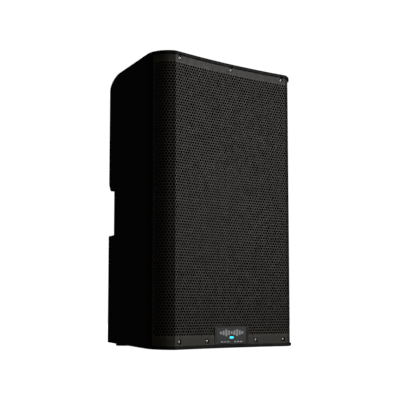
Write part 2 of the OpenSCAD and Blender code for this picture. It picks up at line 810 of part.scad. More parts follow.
module port_tubes() {
    color([0.07, 0.07, 0.07]) for (x = [-port_x, port_x]) on_baffle(x, port_z) rotate_extrude()
        polygon(concat(
            [[port_r, -port_len], [port_r + tube_t, -port_len], [port_r + tube_t, 0],
                [port_r + 2 * tube_t, 0], [port_r + 2 * tube_t, 3]],
            arc_points([port_r + 5, -2], 5, 90, 180, 6)
        ));
}

// ---- amplifier module ----

module amp_panel() {
    color([0.12, 0.12, 0.125]) difference() {
        block([-panel_x, panel_in_y, panel_z0], [panel_x, panel_y, panel_z1]);
        for (x = [-amp_screw_x, amp_screw_x], z = amp_screw_zs)
            pin_y(x, z, panel_in_y - 1, panel_y + 1, 1.9);
        block([-40, panel_in_y - 1, 120], [40, panel_y + 1, 230]);
        for (x = [-knob_x, knob_x]) {
            pin_y(x, knob_z, panel_in_y - 1, panel_y + 1, 5.1);
            pin_y(x, combo_z, panel_in_y - 1, panel_y + 1, combo_r + 0.1);
            block([x - 4, panel_in_y - 1, combo_z + combo_r - 2],
                [x + 4, panel_y + 1, combo_z + combo_r + 3.2]);
        }
        for (x = output_xs) pin_y(x, output_z, panel_in_y - 1, panel_y + 1, 11.1);
        for (z = line_zs) pin_y(0, z, panel_in_y - 1, panel_y + 1, 4.2);
        for (x = slider_xs)
            block([x - 3.1, panel_in_y - 1, slider_z - 5.1], [x + 3.1, panel_y + 1, slider_z + 5.1]);
        for (x = lamp_xs) pin_y(x, lamp_z, panel_in_y - 1, panel_y + 1, 1.6);
        block([inlet_x - 15.1, panel_in_y - 1, inlet_z - 12.1],
            [rocker_x + 14.1, panel_y + 1, inlet_z + 12.1]);
    }
}

module amp_gasket() {
    color([0.06, 0.06, 0.06]) difference() {
        block([-panel_x, panel_in_y - amp_gasket_t, panel_z0], [panel_x, panel_in_y, panel_z1]);
        block([7 - panel_x, panel_in_y - 3, panel_z0 + 7], [panel_x - 7, panel_in_y + 1, panel_z1 - 7]);
        for (x = [-amp_screw_x, amp_screw_x], z = amp_screw_zs) pin_y(x, z, panel_in_y - 3, panel_y, 1.9);
    }
}

module amp_screws() {
    color([0.15, 0.15, 0.15]) for (x = [-amp_screw_x, amp_screw_x], z = amp_screw_zs) {
        difference() {
            pin_y(x, z, panel_y, panel_y + 1.8, 3);
            translate([x, panel_y + 0.7, z]) rotate([-90, 0, 0]) cylinder(h = 2, r = 1.3, $fn = 6);
        }
        pin_y(x, z, panel_in_y - 8, panel_y, 1.5);
    }
}

module heatsink() {
    fins = 12;
    pitch = (2 * sink_x - 2) / (fins - 1);
    color([0.1, 0.1, 0.1]) {
        block([-sink_x, panel_y, sink_z0], [sink_x, panel_y + 3, sink_z1]);
        block([-39.5, panel_in_y - 4, 120.5], [39.5, panel_y, 229.5]);
        for (i = [0:fins - 1])
            block([-sink_x + i * pitch, panel_y + 3, sink_z0],
                [-sink_x + i * pitch + 2, rear_y - 1, sink_z1]);
    }
}

module amp_board() {
    color([0.05, 0.3, 0.15]) {
        difference() {
            block([-50, amp_board_y, 104], [50, amp_board_y + 1.6, 250]);
            for (x = [-45, 45], z = [110, 244]) pin_y(x, z, amp_board_y - 1, amp_board_y + 3, 1.6);
        }
        for (x = [-30, -10, 10, 30])
            block([x - 8, amp_board_y + 1.6, 150], [x + 8, amp_board_y + 5, 171]);
        for (z = [190, 215]) block([20, amp_board_y + 1.6, z], [44, amp_board_y + 16, z + 16]);
    }
}

module transformer() {
    color([0.35, 0.3, 0.2]) difference() {
        block([-26, amp_board_y - 34, 196], [22, amp_board_y, 240]);
        for (x = [-26, 10]) block([x + 5, amp_board_y - 35, 204], [x + 11, amp_board_y - 4, 232]);
    }
}

module filter_capacitors() {
    color([0.12, 0.14, 0.3]) for (x = [-34, 0, 34]) {
        pin_y(x, 130, amp_board_y - 40, amp_board_y, 14);
    }
}

module input_board() {
    color([0.05, 0.3, 0.15]) {
        block([-51, input_board_y, 290], [51, input_board_y + 1.6, 402]);
        for (x = lamp_xs)
            block([x - 2, input_board_y + 1.6, lamp_z - 3], [x + 2, input_board_y + 6, lamp_z - 1]);
        block([-20, input_board_y - 5, 318], [8, input_board_y, 346]);
        block([14, input_board_y - 4, 320], [30, input_board_y, 332]);
    }
}

module gain_pots() {
    board_face = input_board_y + 1.6;
    color([0.5, 0.5, 0.52]) for (x = [-knob_x, knob_x]) difference() {
        union() {
            block([x - 8, board_face, knob_z - 8], [x + 8, panel_in_y - 2, knob_z + 8]);
            pin_y(x, knob_z, panel_in_y - 3, panel_y + 1, 5);
        }
        pin_y(x, knob_z, board_face + 4, panel_y + 2, pot_shaft_r + shaft_play);
    }
}

module gain_knob(x) {
    base_y = panel_y + 1.5;
    color([0.12, 0.12, 0.12]) difference() {
        union() {
            pin_y(x, knob_z, base_y, base_y + 1, knob_r);
            pin_y(x, knob_z, base_y + 1, rear_y - 1, knob_r - 1.2);
            for (i = [0:17]) translate([x, base_y + 1, knob_z]) rotate([-90, 0, 0]) rotate([0, 0, i * 20])
                translate([knob_r - 1.2, 0, 0]) cylinder(h = rear_y - base_y - 3, r = 0.5);
            pin_y(x, knob_z, input_board_y + 6.6, base_y + 1, pot_shaft_r);
        }
        block([x - 0.6, rear_y - 1.8, knob_z + 1], [x + 0.6, rear_y, knob_z + knob_r]);
    }
}

module gain_knob_a() {
    gain_knob(-knob_x);
}

module gain_knob_b() {
    gain_knob(knob_x);
}

module combo_sockets() {
    color([0.09, 0.09, 0.09]) for (x = [-knob_x, knob_x]) difference() {
        union() {
            translate([x, panel_y, combo_z]) rotate([-90, 0, 0]) rounded_slab(13, 15.5, 2, 2.5);
            pin_y(x, combo_z, input_board_y + 1.6, panel_y, combo_r);
            block([x - 3.8, panel_y - 6, combo_z + combo_r - 2], [x + 3.8, panel_y, combo_z + combo_r + 3]);
        }
        pin_y(x, combo_z, input_board_y + 4, panel_y + 3, 3.35);
        for (a = [30, 150, 270])
            hex_y(x + 6.6 * cos(a), combo_z + 6.6 * sin(a), panel_y - 8, panel_y + 3, 1.3);
        block([x - 3, panel_y - 4, combo_z + combo_r], [x + 3, panel_y + 3, combo_z + combo_r + 2.6]);
    }
}

module jack_latch(x) {
    z0 = combo_z + combo_r + slip;
    color([0.25, 0.25, 0.26]) block([x - 2.7, panel_y - 2, z0], [x + 2.7, panel_y + 4.2, z0 + 2]);
}

module jack_latch_a() {
    jack_latch(-knob_x);
}

module jack_latch_b() {
    jack_latch(knob_x);
}

module output_sockets() {
    color([0.09, 0.09, 0.09]) for (x = output_xs) difference() {
        union() {
            translate([x, panel_y, output_z]) rotate([-90, 0, 0]) rounded_slab(13, 13, 2, 2.5);
            pin_y(x, output_z, input_board_y + 1.6, panel_y, 11);
        }
        pin_y(x, output_z, panel_y - 16, panel_y + 3, 9.4);
    }
}

module contact_pins() {
    color([0.75, 0.72, 0.6]) {
        for (x = output_xs, a = [90, 210, 330])
            pin_y(x + 4.9 * cos(a), output_z + 4.9 * sin(a), panel_y - 16, panel_y - 2, 1.2);
        for (x = [inlet_x - 7, inlet_x + 7])
            block([x - 1, panel_y - 16, inlet_z - 3.5], [x + 1, panel_y - 3, inlet_z + 0.5]);
        block([inlet_x - 1, panel_y - 16, inlet_z + 1.2], [inlet_x + 1, panel_y - 3, inlet_z + 5.2]);
    }
}

module line_sockets() {
    color([0.6, 0.6, 0.6]) for (z = line_zs) difference() {
        union() {
            pin_y(0, z, input_board_y + 1.6, panel_y + 8, 4.1);
            pin_y(0, z, panel_y, panel_y + 1.5, 6);
        }
        pin_y(0, z, panel_y - 6, panel_y + 9, 1.7);
    }
}

module slider_frames() {
    color([0.4, 0.4, 0.42]) for (x = slider_xs) difference() {
        block([x - 3, input_board_y + 1.6, slider_z - 5], [x + 3, panel_y, slider_z + 5]);
        block([x - 1.8, panel_y - 5, slider_z - 4.2], [x + 1.8, panel_y + 1, slider_z + 4.2]);
    }
}

module slider(x) {
    color([0.85, 0.85, 0.85])
        block([x - 1.5, panel_y - 4, slider_z - 1.8], [x + 1.5, panel_y + 2.2, slider_z + 1.8]);
}

module treble_slider() {
    slider(slider_xs[0]);
}

module bass_slider() {
    slider(slider_xs[1]);
}

module lamp_slider() {
    slider(slider_xs[2]);
}

module power_inlet() {
    color([0.07, 0.07, 0.07]) difference() {
        union() {
            block([inlet_x - 17, panel_y, inlet_z - 14], [rocker_x + 16, panel_y + 2, inlet_z + 14]);
            block([inlet_x - 15, panel_y - 20, inlet_z - 12], [rocker_x + 14, panel_y, inlet_z + 12]);
        }
        block([inlet_x - 12, panel_y - 16, inlet_z - 8], [inlet_x + 12, panel_y + 3, inlet_z + 8]);
        block([rocker_x - 7, panel_y - 12, inlet_z - 10.5], [rocker_x + 7, panel_y + 3, inlet_z + 10.5]);
        rocker_pivot(8.6, pivot_r + slip);
    }
}

// The pins that the rocker turns on, each half of length l.
module rocker_pivot(l, r) {
    translate([rocker_x - l, panel_y, inlet_z]) rotate([0, 90, 0]) cylinder(h = 2 * l, r = r);
}

module power_rocker() {
    color([0.6, 0.08, 0.06]) {
        translate([rocker_x, panel_y, inlet_z]) rotate([-rocker_tilt, 0, 0])
            rotate([0, 90, 0]) translate([0, 0, -6.4]) linear_extrude(12.8) polygon(concat(
                arc_points([0, -14], 19.4, 62, 118, 10),
                [[-9.2, 0], [-4, -5], [4, -5], [9.2, 0]]
            ));
        rocker_pivot(8.2, pivot_r);
    }
}

module status_lamps() {
    color([0.3, 0.9, 0.4]) for (x = lamp_xs) {
        pin_y(x, lamp_z, panel_in_y - 3, panel_y, 1.5);
        translate([x, panel_y, lamp_z]) rotate([-90, 0, 0]) rotate_extrude()
            polygon(concat([[0, 0]], arc_points([0, 0], 1.5, 0, 90, 6)));
    }
}

// ---- internal leads ----

function unit(v) = v / norm(v);
function tangent(p, i) = unit(p[min(i + 1, len(p) - 1)] - p[max(i - 1, 0)]);
function side_of(t) = unit(cross(t, [0, 0.13, 1]));

// A smooth curve through the points, three steps to a stretch.
function smooth(p) = concat([for (i = [0:len(p) - 2], k = [0:2])
    let (s = k / 3)
    let (a = p[max(i - 1, 0)])
    let (b = p[i])
    let (c = p[i + 1])
    let (d = p[min(i + 2, len(p) - 1)])
    0.5 * (2 * b + (c - a) * s + (2 * a - 5 * b + 4 * c - d) * s * s + (3 * b - a - 3 * c + d) * s * s * s)
], [p[len(p) - 1]]);

module lead(route) {
    path = smooth(route);
    n = len(path);
    points = [for (i = [0:n - 1], k = [0:lead_sides - 1])
        let (t = tangent(path, i))
        let (u = side_of(t))
        let (v = cross(t, u))
        path[i] + lead_r * (u * cos(360 * k / lead_sides) + v * sin(360 * k / lead_sides))];
    walls = [for (i = [0:n - 2], k = [0:lead_sides - 1])
        let (m = (k + 1) % lead_sides)
        [i * lead_sides + k, i * lead_sides + m, (i + 1) * lead_sides + m, (i + 1) * lead_sides + k]];
    ends = [
        [for (k = [lead_sides - 1:-1:0]) k],
        [for (k = [0:lead_sides - 1]) (n - 1) * lead_sides + k]
    ];
    polyhedron(points, concat(walls, ends));
}

module driver_leads() {
    color([0.6, 0.1, 0.1]) {
        lead(woofer_route);
        lead(hf_route);
    }
}

front_baffle();
rear_shell();
seam_gasket();
case_screws();
damping_foam();
grille();
grille_foam();
grille_screws();
badge_bezel();
badge_plate();
badge_lamp();
badge_board();
woofer_gasket();
woofer_basket();
woofer_top_plate();
woofer_magnet();
woofer_back_plate();
woofer_spider();
woofer_surround();
woofer_cone();
woofer_coil();
woofer_dust_cap();
driver_screws();
horn();
hf_motor();
hf_magnet();
hf_diaphragm();
hf_cap();
hf_bolts();
port_tubes();
amp_panel();
amp_gasket();
amp_screws();
heatsink();
amp_board();
transformer();
filter_capacitors();
input_board();
gain_pots();
gain_knob_a();
gain_knob_b();
combo_sockets();
jack_latch_a();
jack_latch_b();
output_sockets();
contact_pins();
line_sockets();
slider_frames();
treble_slider();
bass_slider();
lamp_slider();
power_inlet();
power_rocker();
status_lamps();
handle_bar();
feet();
pole_socket();
rigging_inserts();
driver_leads();
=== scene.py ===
"""Powered two-way loudspeaker cabinet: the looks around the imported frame.

Lengths in the code are millimetres, and MM turns them into metres.
"""

import json
import math

import bmesh
import bpy
import numpy as np
from mathutils import Matrix, Vector


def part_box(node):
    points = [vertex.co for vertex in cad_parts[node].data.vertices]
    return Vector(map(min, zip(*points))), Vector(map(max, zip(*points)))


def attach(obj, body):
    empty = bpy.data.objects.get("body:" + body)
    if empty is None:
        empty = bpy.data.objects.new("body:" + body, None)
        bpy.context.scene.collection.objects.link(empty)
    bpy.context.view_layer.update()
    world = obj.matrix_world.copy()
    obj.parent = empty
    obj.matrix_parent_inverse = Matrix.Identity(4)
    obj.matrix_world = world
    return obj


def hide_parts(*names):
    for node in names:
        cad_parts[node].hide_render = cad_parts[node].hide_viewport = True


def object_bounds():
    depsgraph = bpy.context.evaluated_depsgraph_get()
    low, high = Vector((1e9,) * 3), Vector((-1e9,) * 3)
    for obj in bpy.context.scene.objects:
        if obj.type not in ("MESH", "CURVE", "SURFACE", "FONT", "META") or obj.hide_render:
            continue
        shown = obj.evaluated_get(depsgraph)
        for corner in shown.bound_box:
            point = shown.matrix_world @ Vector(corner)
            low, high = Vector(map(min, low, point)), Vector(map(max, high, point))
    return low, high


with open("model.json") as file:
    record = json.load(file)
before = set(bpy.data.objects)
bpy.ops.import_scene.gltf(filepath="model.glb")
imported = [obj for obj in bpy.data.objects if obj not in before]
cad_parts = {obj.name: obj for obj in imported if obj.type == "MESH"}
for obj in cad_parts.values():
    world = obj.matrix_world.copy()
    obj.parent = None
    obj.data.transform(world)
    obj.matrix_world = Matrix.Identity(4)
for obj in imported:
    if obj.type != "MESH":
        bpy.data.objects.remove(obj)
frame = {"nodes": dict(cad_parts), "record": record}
CAD_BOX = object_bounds()
MM = 0.001


def box_mm(node):
    """Lowest and highest corner of a CAD node, in millimetres."""
    lo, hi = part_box(node)
    return [v / MM for v in lo], [v / MM for v in hi]


# ---- sizes, from the frame and a few driving dimensions ----

CAB_LO, CAB_HI = ([v / MM for v in corner] for corner in CAD_BOX)
CAB_W = CAB_HI[0] - CAB_LO[0]
CAB_H = CAB_HI[2]
FRONT_Y, REAR_Y = CAB_LO[1], CAB_HI[1]
WALL = 5.0
CORNER_R = 42.0
CREASE_X = 130.0
FRONT_SAG = 7.0
SIDE_TAPER = math.radians(11.1)
FACET_TAPER = math.radians(33.5)
FACET_Y = REAR_Y - 71.5
REAR_EDGE_R = 5.0
REAR_TOP_R = 25.0
TOP_EDGE_R = 2.5
FOOT_GAP = 1.5
UNDERSIDE_RISE = math.tan(math.radians(1.5))
SEAM_Y = FRONT_Y + 47
SEAM_GAP = 0.5
LIP_UNDER = CAB_H - 6
SILL_TOP = 7.3
BAND_Z0, BAND_Z1 = SILL_TOP + 16.5, LIP_UNDER - 12.6
GRILLE_SET = 2.5
GRILLE_T = 1.2
GRILLE_END_Y = FRONT_Y + 32
GRILLE_CLEAR = 0.3
FOAM_T = 4.0
BAY_SET = GRILLE_SET + GRILLE_T + GRILLE_CLEAR
BAFFLE_Y = FRONT_Y + 28
BAFFLE_T = 8.0
HOLE_R = 2.2
BADGE_X, BADGE_Z0, BADGE_Z1 = 40.0, SILL_TOP + 0.5, 40.5
BADGE_Y = FRONT_Y + FRONT_SAG + 1.2
PANEL_Y = REAR_Y - 12
PANEL_IN_Y = PANEL_Y - 3

CORNER_CX = CAB_W / 2 - CORNER_R
CREASE_DROP = math.sqrt(CORNER_R**2 - (CREASE_X - CORNER_CX) ** 2)
CORNER_C = (CORNER_CX, FRONT_Y + CREASE_DROP)
SIDE_DIST = CORNER_C[0] * math.cos(SIDE_TAPER) + CORNER_C[1] * math.sin(SIDE_TAPER) + CORNER_R
FACET_X = (SIDE_DIST - FACET_Y * math.sin(SIDE_TAPER)) / math.cos(SIDE_TAPER)
FACET_DIST = FACET_X * math.cos(FACET_TAPER) + FACET_Y * math.sin(FACET_TAPER)


# ---- outline of the cabinet seen from above ----


def arc(centre, r, a0, a1, n):
    """Points on an arc from angle a0 to a1, both ends included."""
    angles = [a0 + (a1 - a0) * i / n for i in range(n + 1)]
    return [(centre[0] + r * math.cos(a), centre[1] + r * math.sin(a)) for a in angles]


def lines_meet(a1, d1, a2, d2):
    """Where two lines meet, each given by the angle of its normal and its distance from the origin."""
    s = math.sin(a2 - a1)
    return ((d1 * math.sin(a2) - d2 * math.sin(a1)) / s, (d2 * math.cos(a1) - d1 * math.cos(a2)) / s)


def front_curve(w, n):
    """Right half of the hollow front, from the middle to the crease, set in by w."""
    crease_a = -math.asin((CREASE_DROP - w) / (CORNER_R - w))
    cx = CORNER_C[0] + (CORNER_R - w) * math.cos(crease_a)
    return [(i / n * cx, FRONT_Y + w + FRONT_SAG * (1 - (i / n) ** 2)) for i in range(n + 1)], crease_a


def plan_right(w, q=0.0, fine=1):
    """Right half of the cabinet's outline, set in by w and its rear by another q."""
    front, crease_a = front_curve(w, 16 * fine)
    facet_dist = FACET_DIST - w - q - REAR_EDGE_R
    side_c = lines_meet(SIDE_TAPER, SIDE_DIST - w - REAR_EDGE_R, FACET_TAPER, facet_dist)
    rear_c = lines_meet(FACET_TAPER, facet_dist, math.pi / 2, REAR_Y - w - q - REAR_EDGE_R)
    return (
        front[:-1]
        + arc(CORNER_C, CORNER_R - w, crease_a, SIDE_TAPER, 24 * fine)
        + arc(side_c, REAR_EDGE_R, SIDE_TAPER, FACET_TAPER, 4)
        + arc(rear_c, REAR_EDGE_R, FACET_TAPER, math.pi / 2, 8)
    )


def plan(w, q=0.0):
    right = plan_right(w, q)
    return right + [(-x, y) for x, y in reversed(right[1:])]


def under_z(y, w=0.0):
    """Height of the sloping underside at y."""
    return FOOT_GAP + w + (y - FRONT_Y) * UNDERSIDE_RISE


def face_y(x, w):
    """Y of the hollow front at x, set back by w."""
    return FRONT_Y + w + FRONT_SAG * (1 - (x / CREASE_X) ** 2)


# ---- mesh helpers ----


def make_object(name, points, faces):
    """A mesh object from points in millimetres."""
    mesh = bpy.data.meshes.new(name)
    mesh.from_pydata([(x * MM, y * MM, z * MM) for x, y, z in points], [], faces)
    mesh.update()
    made = bpy.data.objects.new(name, mesh)
    bpy.context.scene.collection.objects.link(made)
    return made


def edit(obj, change):
    """Runs change(bm) on the object's mesh."""
    bm = bmesh.new()
    bm.from_mesh(obj.data)
    change(bm)
    bm.to_mesh(obj.data)
    bm.free()
    return obj


def outward(obj):
    return edit(obj, lambda bm: bmesh.ops.recalc_face_normals(bm, faces=bm.faces[:]))


def shade(obj, angle=35.0):
    """Smooth shading that stays sharp at edges steeper than angle."""
    obj.data.shade_smooth()
    obj.data.set_sharp_from_angle(angle=math.radians(angle))
    return obj


def loft(rings, closed_ends=True, loop=False):
    """Points and faces of a skin through rings that have as many points as each other."""
    n, count = len(rings[0]), len(rings)
    points = [p for ring in rings for p in ring]
    spans = count if loop else count - 1
    faces = [
        (k * n + i, k * n + (i + 1) % n, (k + 1) % count * n + (i + 1) % n, (k + 1) % count * n + i)
        for k in range(spans)
        for i in range(n)
    ]
    if closed_ends and not loop:
        faces += [tuple(reversed(range(n))), tuple(range((count - 1) * n, count * n))]
    return points, faces


def prism(outline, z0, z1):
    """Points and faces of an upright prism over a flat outline."""
    return loft([[(x, y, z0) for x, y in outline], [(x, y, z1) for x, y in outline]])


def block(lo, hi):
    return prism([(lo[0], lo[1]), (hi[0], lo[1]), (hi[0], hi[1]), (lo[0], hi[1])], lo[2], hi[2])


def tube(centre, axis, r0, r1, length, sides=48):
    """Points and faces of a cylinder or cone from centre along axis, a unit vector."""
    turn = Vector((0, 0, 1)).rotation_difference(Vector(axis)).to_matrix()
    rings = []
    for r, h in ((r0, 0.0), (r1, length)):
        ring = [Vector((r * math.cos(a), r * math.sin(a), h)) for a in turns(sides)]
        rings.append([tuple(Vector(centre) + turn @ p) for p in ring])
    return loft(rings)


def turns(sides):
    return [math.tau * i / sides for i in range(sides)]


def joined(*shapes):
    """Several (points, faces) as one."""
    points, faces = [], []
    for some_points, some_faces in shapes:
        faces += [tuple(len(points) + i for i in face) for face in some_faces]
        points += list(some_points)
    return points, faces


def rounded_rect(hx, hz, r, steps=6):
    """Outline of a rectangle with round corners."""
    r = min(r, hx - 0.01, hz - 0.01)
    points = []
    for k, (sx, sz) in enumerate(((1, 1), (-1, 1), (-1, -1), (1, -1))):
        points += arc((sx * (hx - r), sz * (hz - r)), r, k * math.pi / 2, (k + 1) * math.pi / 2, steps)
    return points


def carve(obj, *cutters, operation="DIFFERENCE"):
    """Cuts shapes, each (points, faces), out of obj with exact booleans."""
    tools = []
    for k, shape in enumerate(cutters):
        tool = outward(make_object(f"{obj.name}_tool_{k}", *shape))
        change = obj.modifiers.new("cut", "BOOLEAN")
        change.operation = operation
        change.solver = "EXACT"
        change.object = tool
        tools.append(tool)
    graph = bpy.context.evaluated_depsgraph_get()
    mesh = bpy.data.meshes.new_from_object(obj.evaluated_get(graph))
    obj.modifiers.clear()
    old, obj.data = obj.data, mesh
    bpy.data.meshes.remove(old)
    for tool in tools:
        mesh = tool.data
        bpy.data.objects.remove(tool)
        bpy.data.meshes.remove(mesh)
    return obj


def clean(obj, merge=0.01, flat=0.4):
    """Merges doubled points and joins faces that lie in one plane."""

    def change(bm):
        bmesh.ops.remove_doubles(bm, verts=bm.verts[:], dist=merge * MM)
        bmesh.ops.dissolve_limit(
            bm, angle_limit=math.radians(flat), verts=bm.verts[:], edges=bm.edges[:], delimit={"NORMAL"}
        )

    return edit(obj, change)


def round_edges(obj, width, angle=32.0, segments=2):
    """Bevels the sharp edges, and keeps the flat faces flat in shading."""
    bevel = obj.modifiers.new("round edges", "BEVEL")
    bevel.width = width * MM
    bevel.segments = segments
    bevel.limit_method = "ANGLE"
    bevel.angle_limit = math.radians(angle)
    bevel.use_clamp_overlap = True
    bevel.miter_outer = "MITER_ARC"
    weighted = obj.modifiers.new("flat faces", "WEIGHTED_NORMAL")
    weighted.weight = 80
    weighted.keep_sharp = True
    obj.data.shade_smooth()
    return obj


# ---- materials ----


def srgb(*levels):
    """Linear colour from levels of 0 to 255."""
    out = []
    for level in levels:
        c = level / 255
        out.append(c / 12.92 if c <= 0.04045 else ((c + 0.055) / 1.055) ** 2.4)
    return (*out, 1.0)


class Nodes:
    """A short way to add and link shader nodes."""

    def __init__(self, material):
        self.tree = material.node_tree
        self.tree.nodes.clear()
        self.coords = None

    def add(self, kind, inputs=(), **settings):
        made = self.tree.nodes.new("ShaderNode" + kind)
        for key, value in settings.items():
            setattr(made, key, value)
        for key, value in dict(inputs).items():
            if isinstance(value, bpy.types.NodeSocket):
                self.tree.links.new(value, made.inputs[key])
            else:
                made.inputs[key].default_value = value
        return made

    def place(self, stretch=(1, 1, 1)):
        """Object coordinates in metres, stretched."""
        if self.coords is None:
            self.coords = self.add("TexCoord").outputs["Object"]
        if tuple(stretch) == (1, 1, 1):
            return self.coords
        return self.add("Mapping", {"Vector": self.coords, "Scale": stretch}).outputs["Vector"]

    def noise(self, size_mm, detail=3.0, stretch=(1, 1, 1), distortion=0.0, rough=0.5):
        inputs = {
            "Vector": self.place(stretch), "Scale": 1 / (size_mm * MM), "Detail": detail,
            "Distortion": distortion, "Roughness": rough,
        }
        return self.add("TexNoise", inputs).outputs["Fac"]

    def cells(self, size_mm, feature="F1", stretch=(1, 1, 1)):
        inputs = {"Vector": self.place(stretch), "Scale": 1 / (size_mm * MM)}
        return self.add("TexVoronoi", inputs, feature=feature).outputs["Distance"]

    def wave(self, size_mm, direction="X"):
        inputs = {"Vector": self.place(), "Scale": 0.314 / (size_mm * MM)}
        return self.add("TexWave", inputs, bands_direction=direction).outputs["Fac"]

    def spread(self, value, low, high, start=0.3, end=0.7):
        inputs = {"Value": value, "From Min": start, "From Max": end, "To Min": low, "To Max": high}
        return self.add("MapRange", inputs).outputs["Result"]

    def maths(self, operation, a, b):
        made = self.add("Math", {0: a, 1: b}, operation=operation)
        return made.outputs["Value"]

    def mix(self, share, a, b):
        made = self.add("Mix", {"Factor": share}, data_type="RGBA")
        for key, value in ((6, a), (7, b)):
            if isinstance(value, bpy.types.NodeSocket):
                self.tree.links.new(value, made.inputs[key])
            else:
                made.inputs[key].default_value = value
        return made.outputs[2]


def pebble(n, size):
    """Fine moulded leather-like grain."""
    return n.maths("ADD", n.cells(size, "SMOOTH_F1"), n.noise(size * 0.45, 2.0))


def speckle(n, size):
    """Sprayed paint or powder coat."""
    return n.noise(size, 4.0, rough=0.65)


def brushed(n, size):
    """Fine lines along Z."""
    return n.noise(size, 2.0, stretch=(1, 1, 0.02))


def turned(n, size):
    """Tool marks of a lathe or a press, fine and uneven."""
    return n.maths("ADD", n.noise(size, 3.0, stretch=(1, 0.15, 1)), n.noise(size * 6, 2.0))


def weave(n, size):
    """Two crossing sets of threads."""
    return n.maths("MAXIMUM", n.wave(size, "X"), n.wave(size, "Z"))


def fibre(n, size):
    """Pressed paper pulp."""
    return n.noise(size, 6.0, distortion=2.5, rough=0.7)


def open_cells(n, size):
    """Cut open-cell foam."""
    return n.maths("ADD", n.cells(size), n.noise(size * 0.5, 2.0))


GRAINS = {f.__name__: f for f in (pebble, speckle, brushed, turned, weave, fibre, open_cells)}


def look(name, colour, second, rough, grain, size, depth, blotch=35.0, metal=0.0, wear=None, **sockets):
    """A procedural material.

    Its colour drifts to second over blotch mm, rough is (smoothest, roughest), and the grain of
    that size stands depth mm proud.
    """
    material = bpy.data.materials.new(name)
    material.use_nodes = True
    n = Nodes(material)
    shader = n.add("BsdfPrincipled", {"Metallic": metal, **sockets})
    base = n.mix(n.spread(n.noise(blotch, 4.0), 0.0, 1.0), colour, second)
    relief = GRAINS[grain](n, size)
    base = n.mix(n.spread(relief, 0.0, 0.35, 0.2, 0.9), base, tuple(c * 0.55 for c in colour[:3]) + (1.0,))
    if wear:
        ridge = n.add("NewGeometry").outputs["Pointiness"]
        patches = n.spread(n.noise(6.0, 4.0), 0.0, 1.0)
        worn = n.maths("MULTIPLY", n.spread(ridge, 0.0, 1.0, 0.52, 0.62), patches)
        base = n.mix(worn, base, wear)
    n.tree.links.new(base, shader.inputs["Base Color"])
    n.tree.links.new(n.spread(n.noise(blotch * 0.3, 5.0), *rough), shader.inputs["Roughness"])
    bump = n.add("Bump", {"Height": relief, "Distance": depth * MM, "Strength": 1.0})
    n.tree.links.new(bump.outputs["Normal"], shader.inputs["Normal"])
    out = n.add("OutputMaterial")
    n.tree.links.new(shader.outputs["BSDF"], out.inputs["Surface"])
    return material


def glowing(name, colour, strength, body):
    """A lit lens that glows evenly, its colour drifting between body and colour, with a fine moulded grain.
    """
    material = look(name, body, colour, (0.15, 0.3), "speckle", 0.4, 0.01, blotch=3.0)
    shader = material.node_tree.nodes["Principled BSDF"]
    shader.inputs["Emission Color"].default_value = colour
    shader.inputs["Emission Strength"].default_value = strength
    return material


def grey(level):
    return srgb(level, level, level)


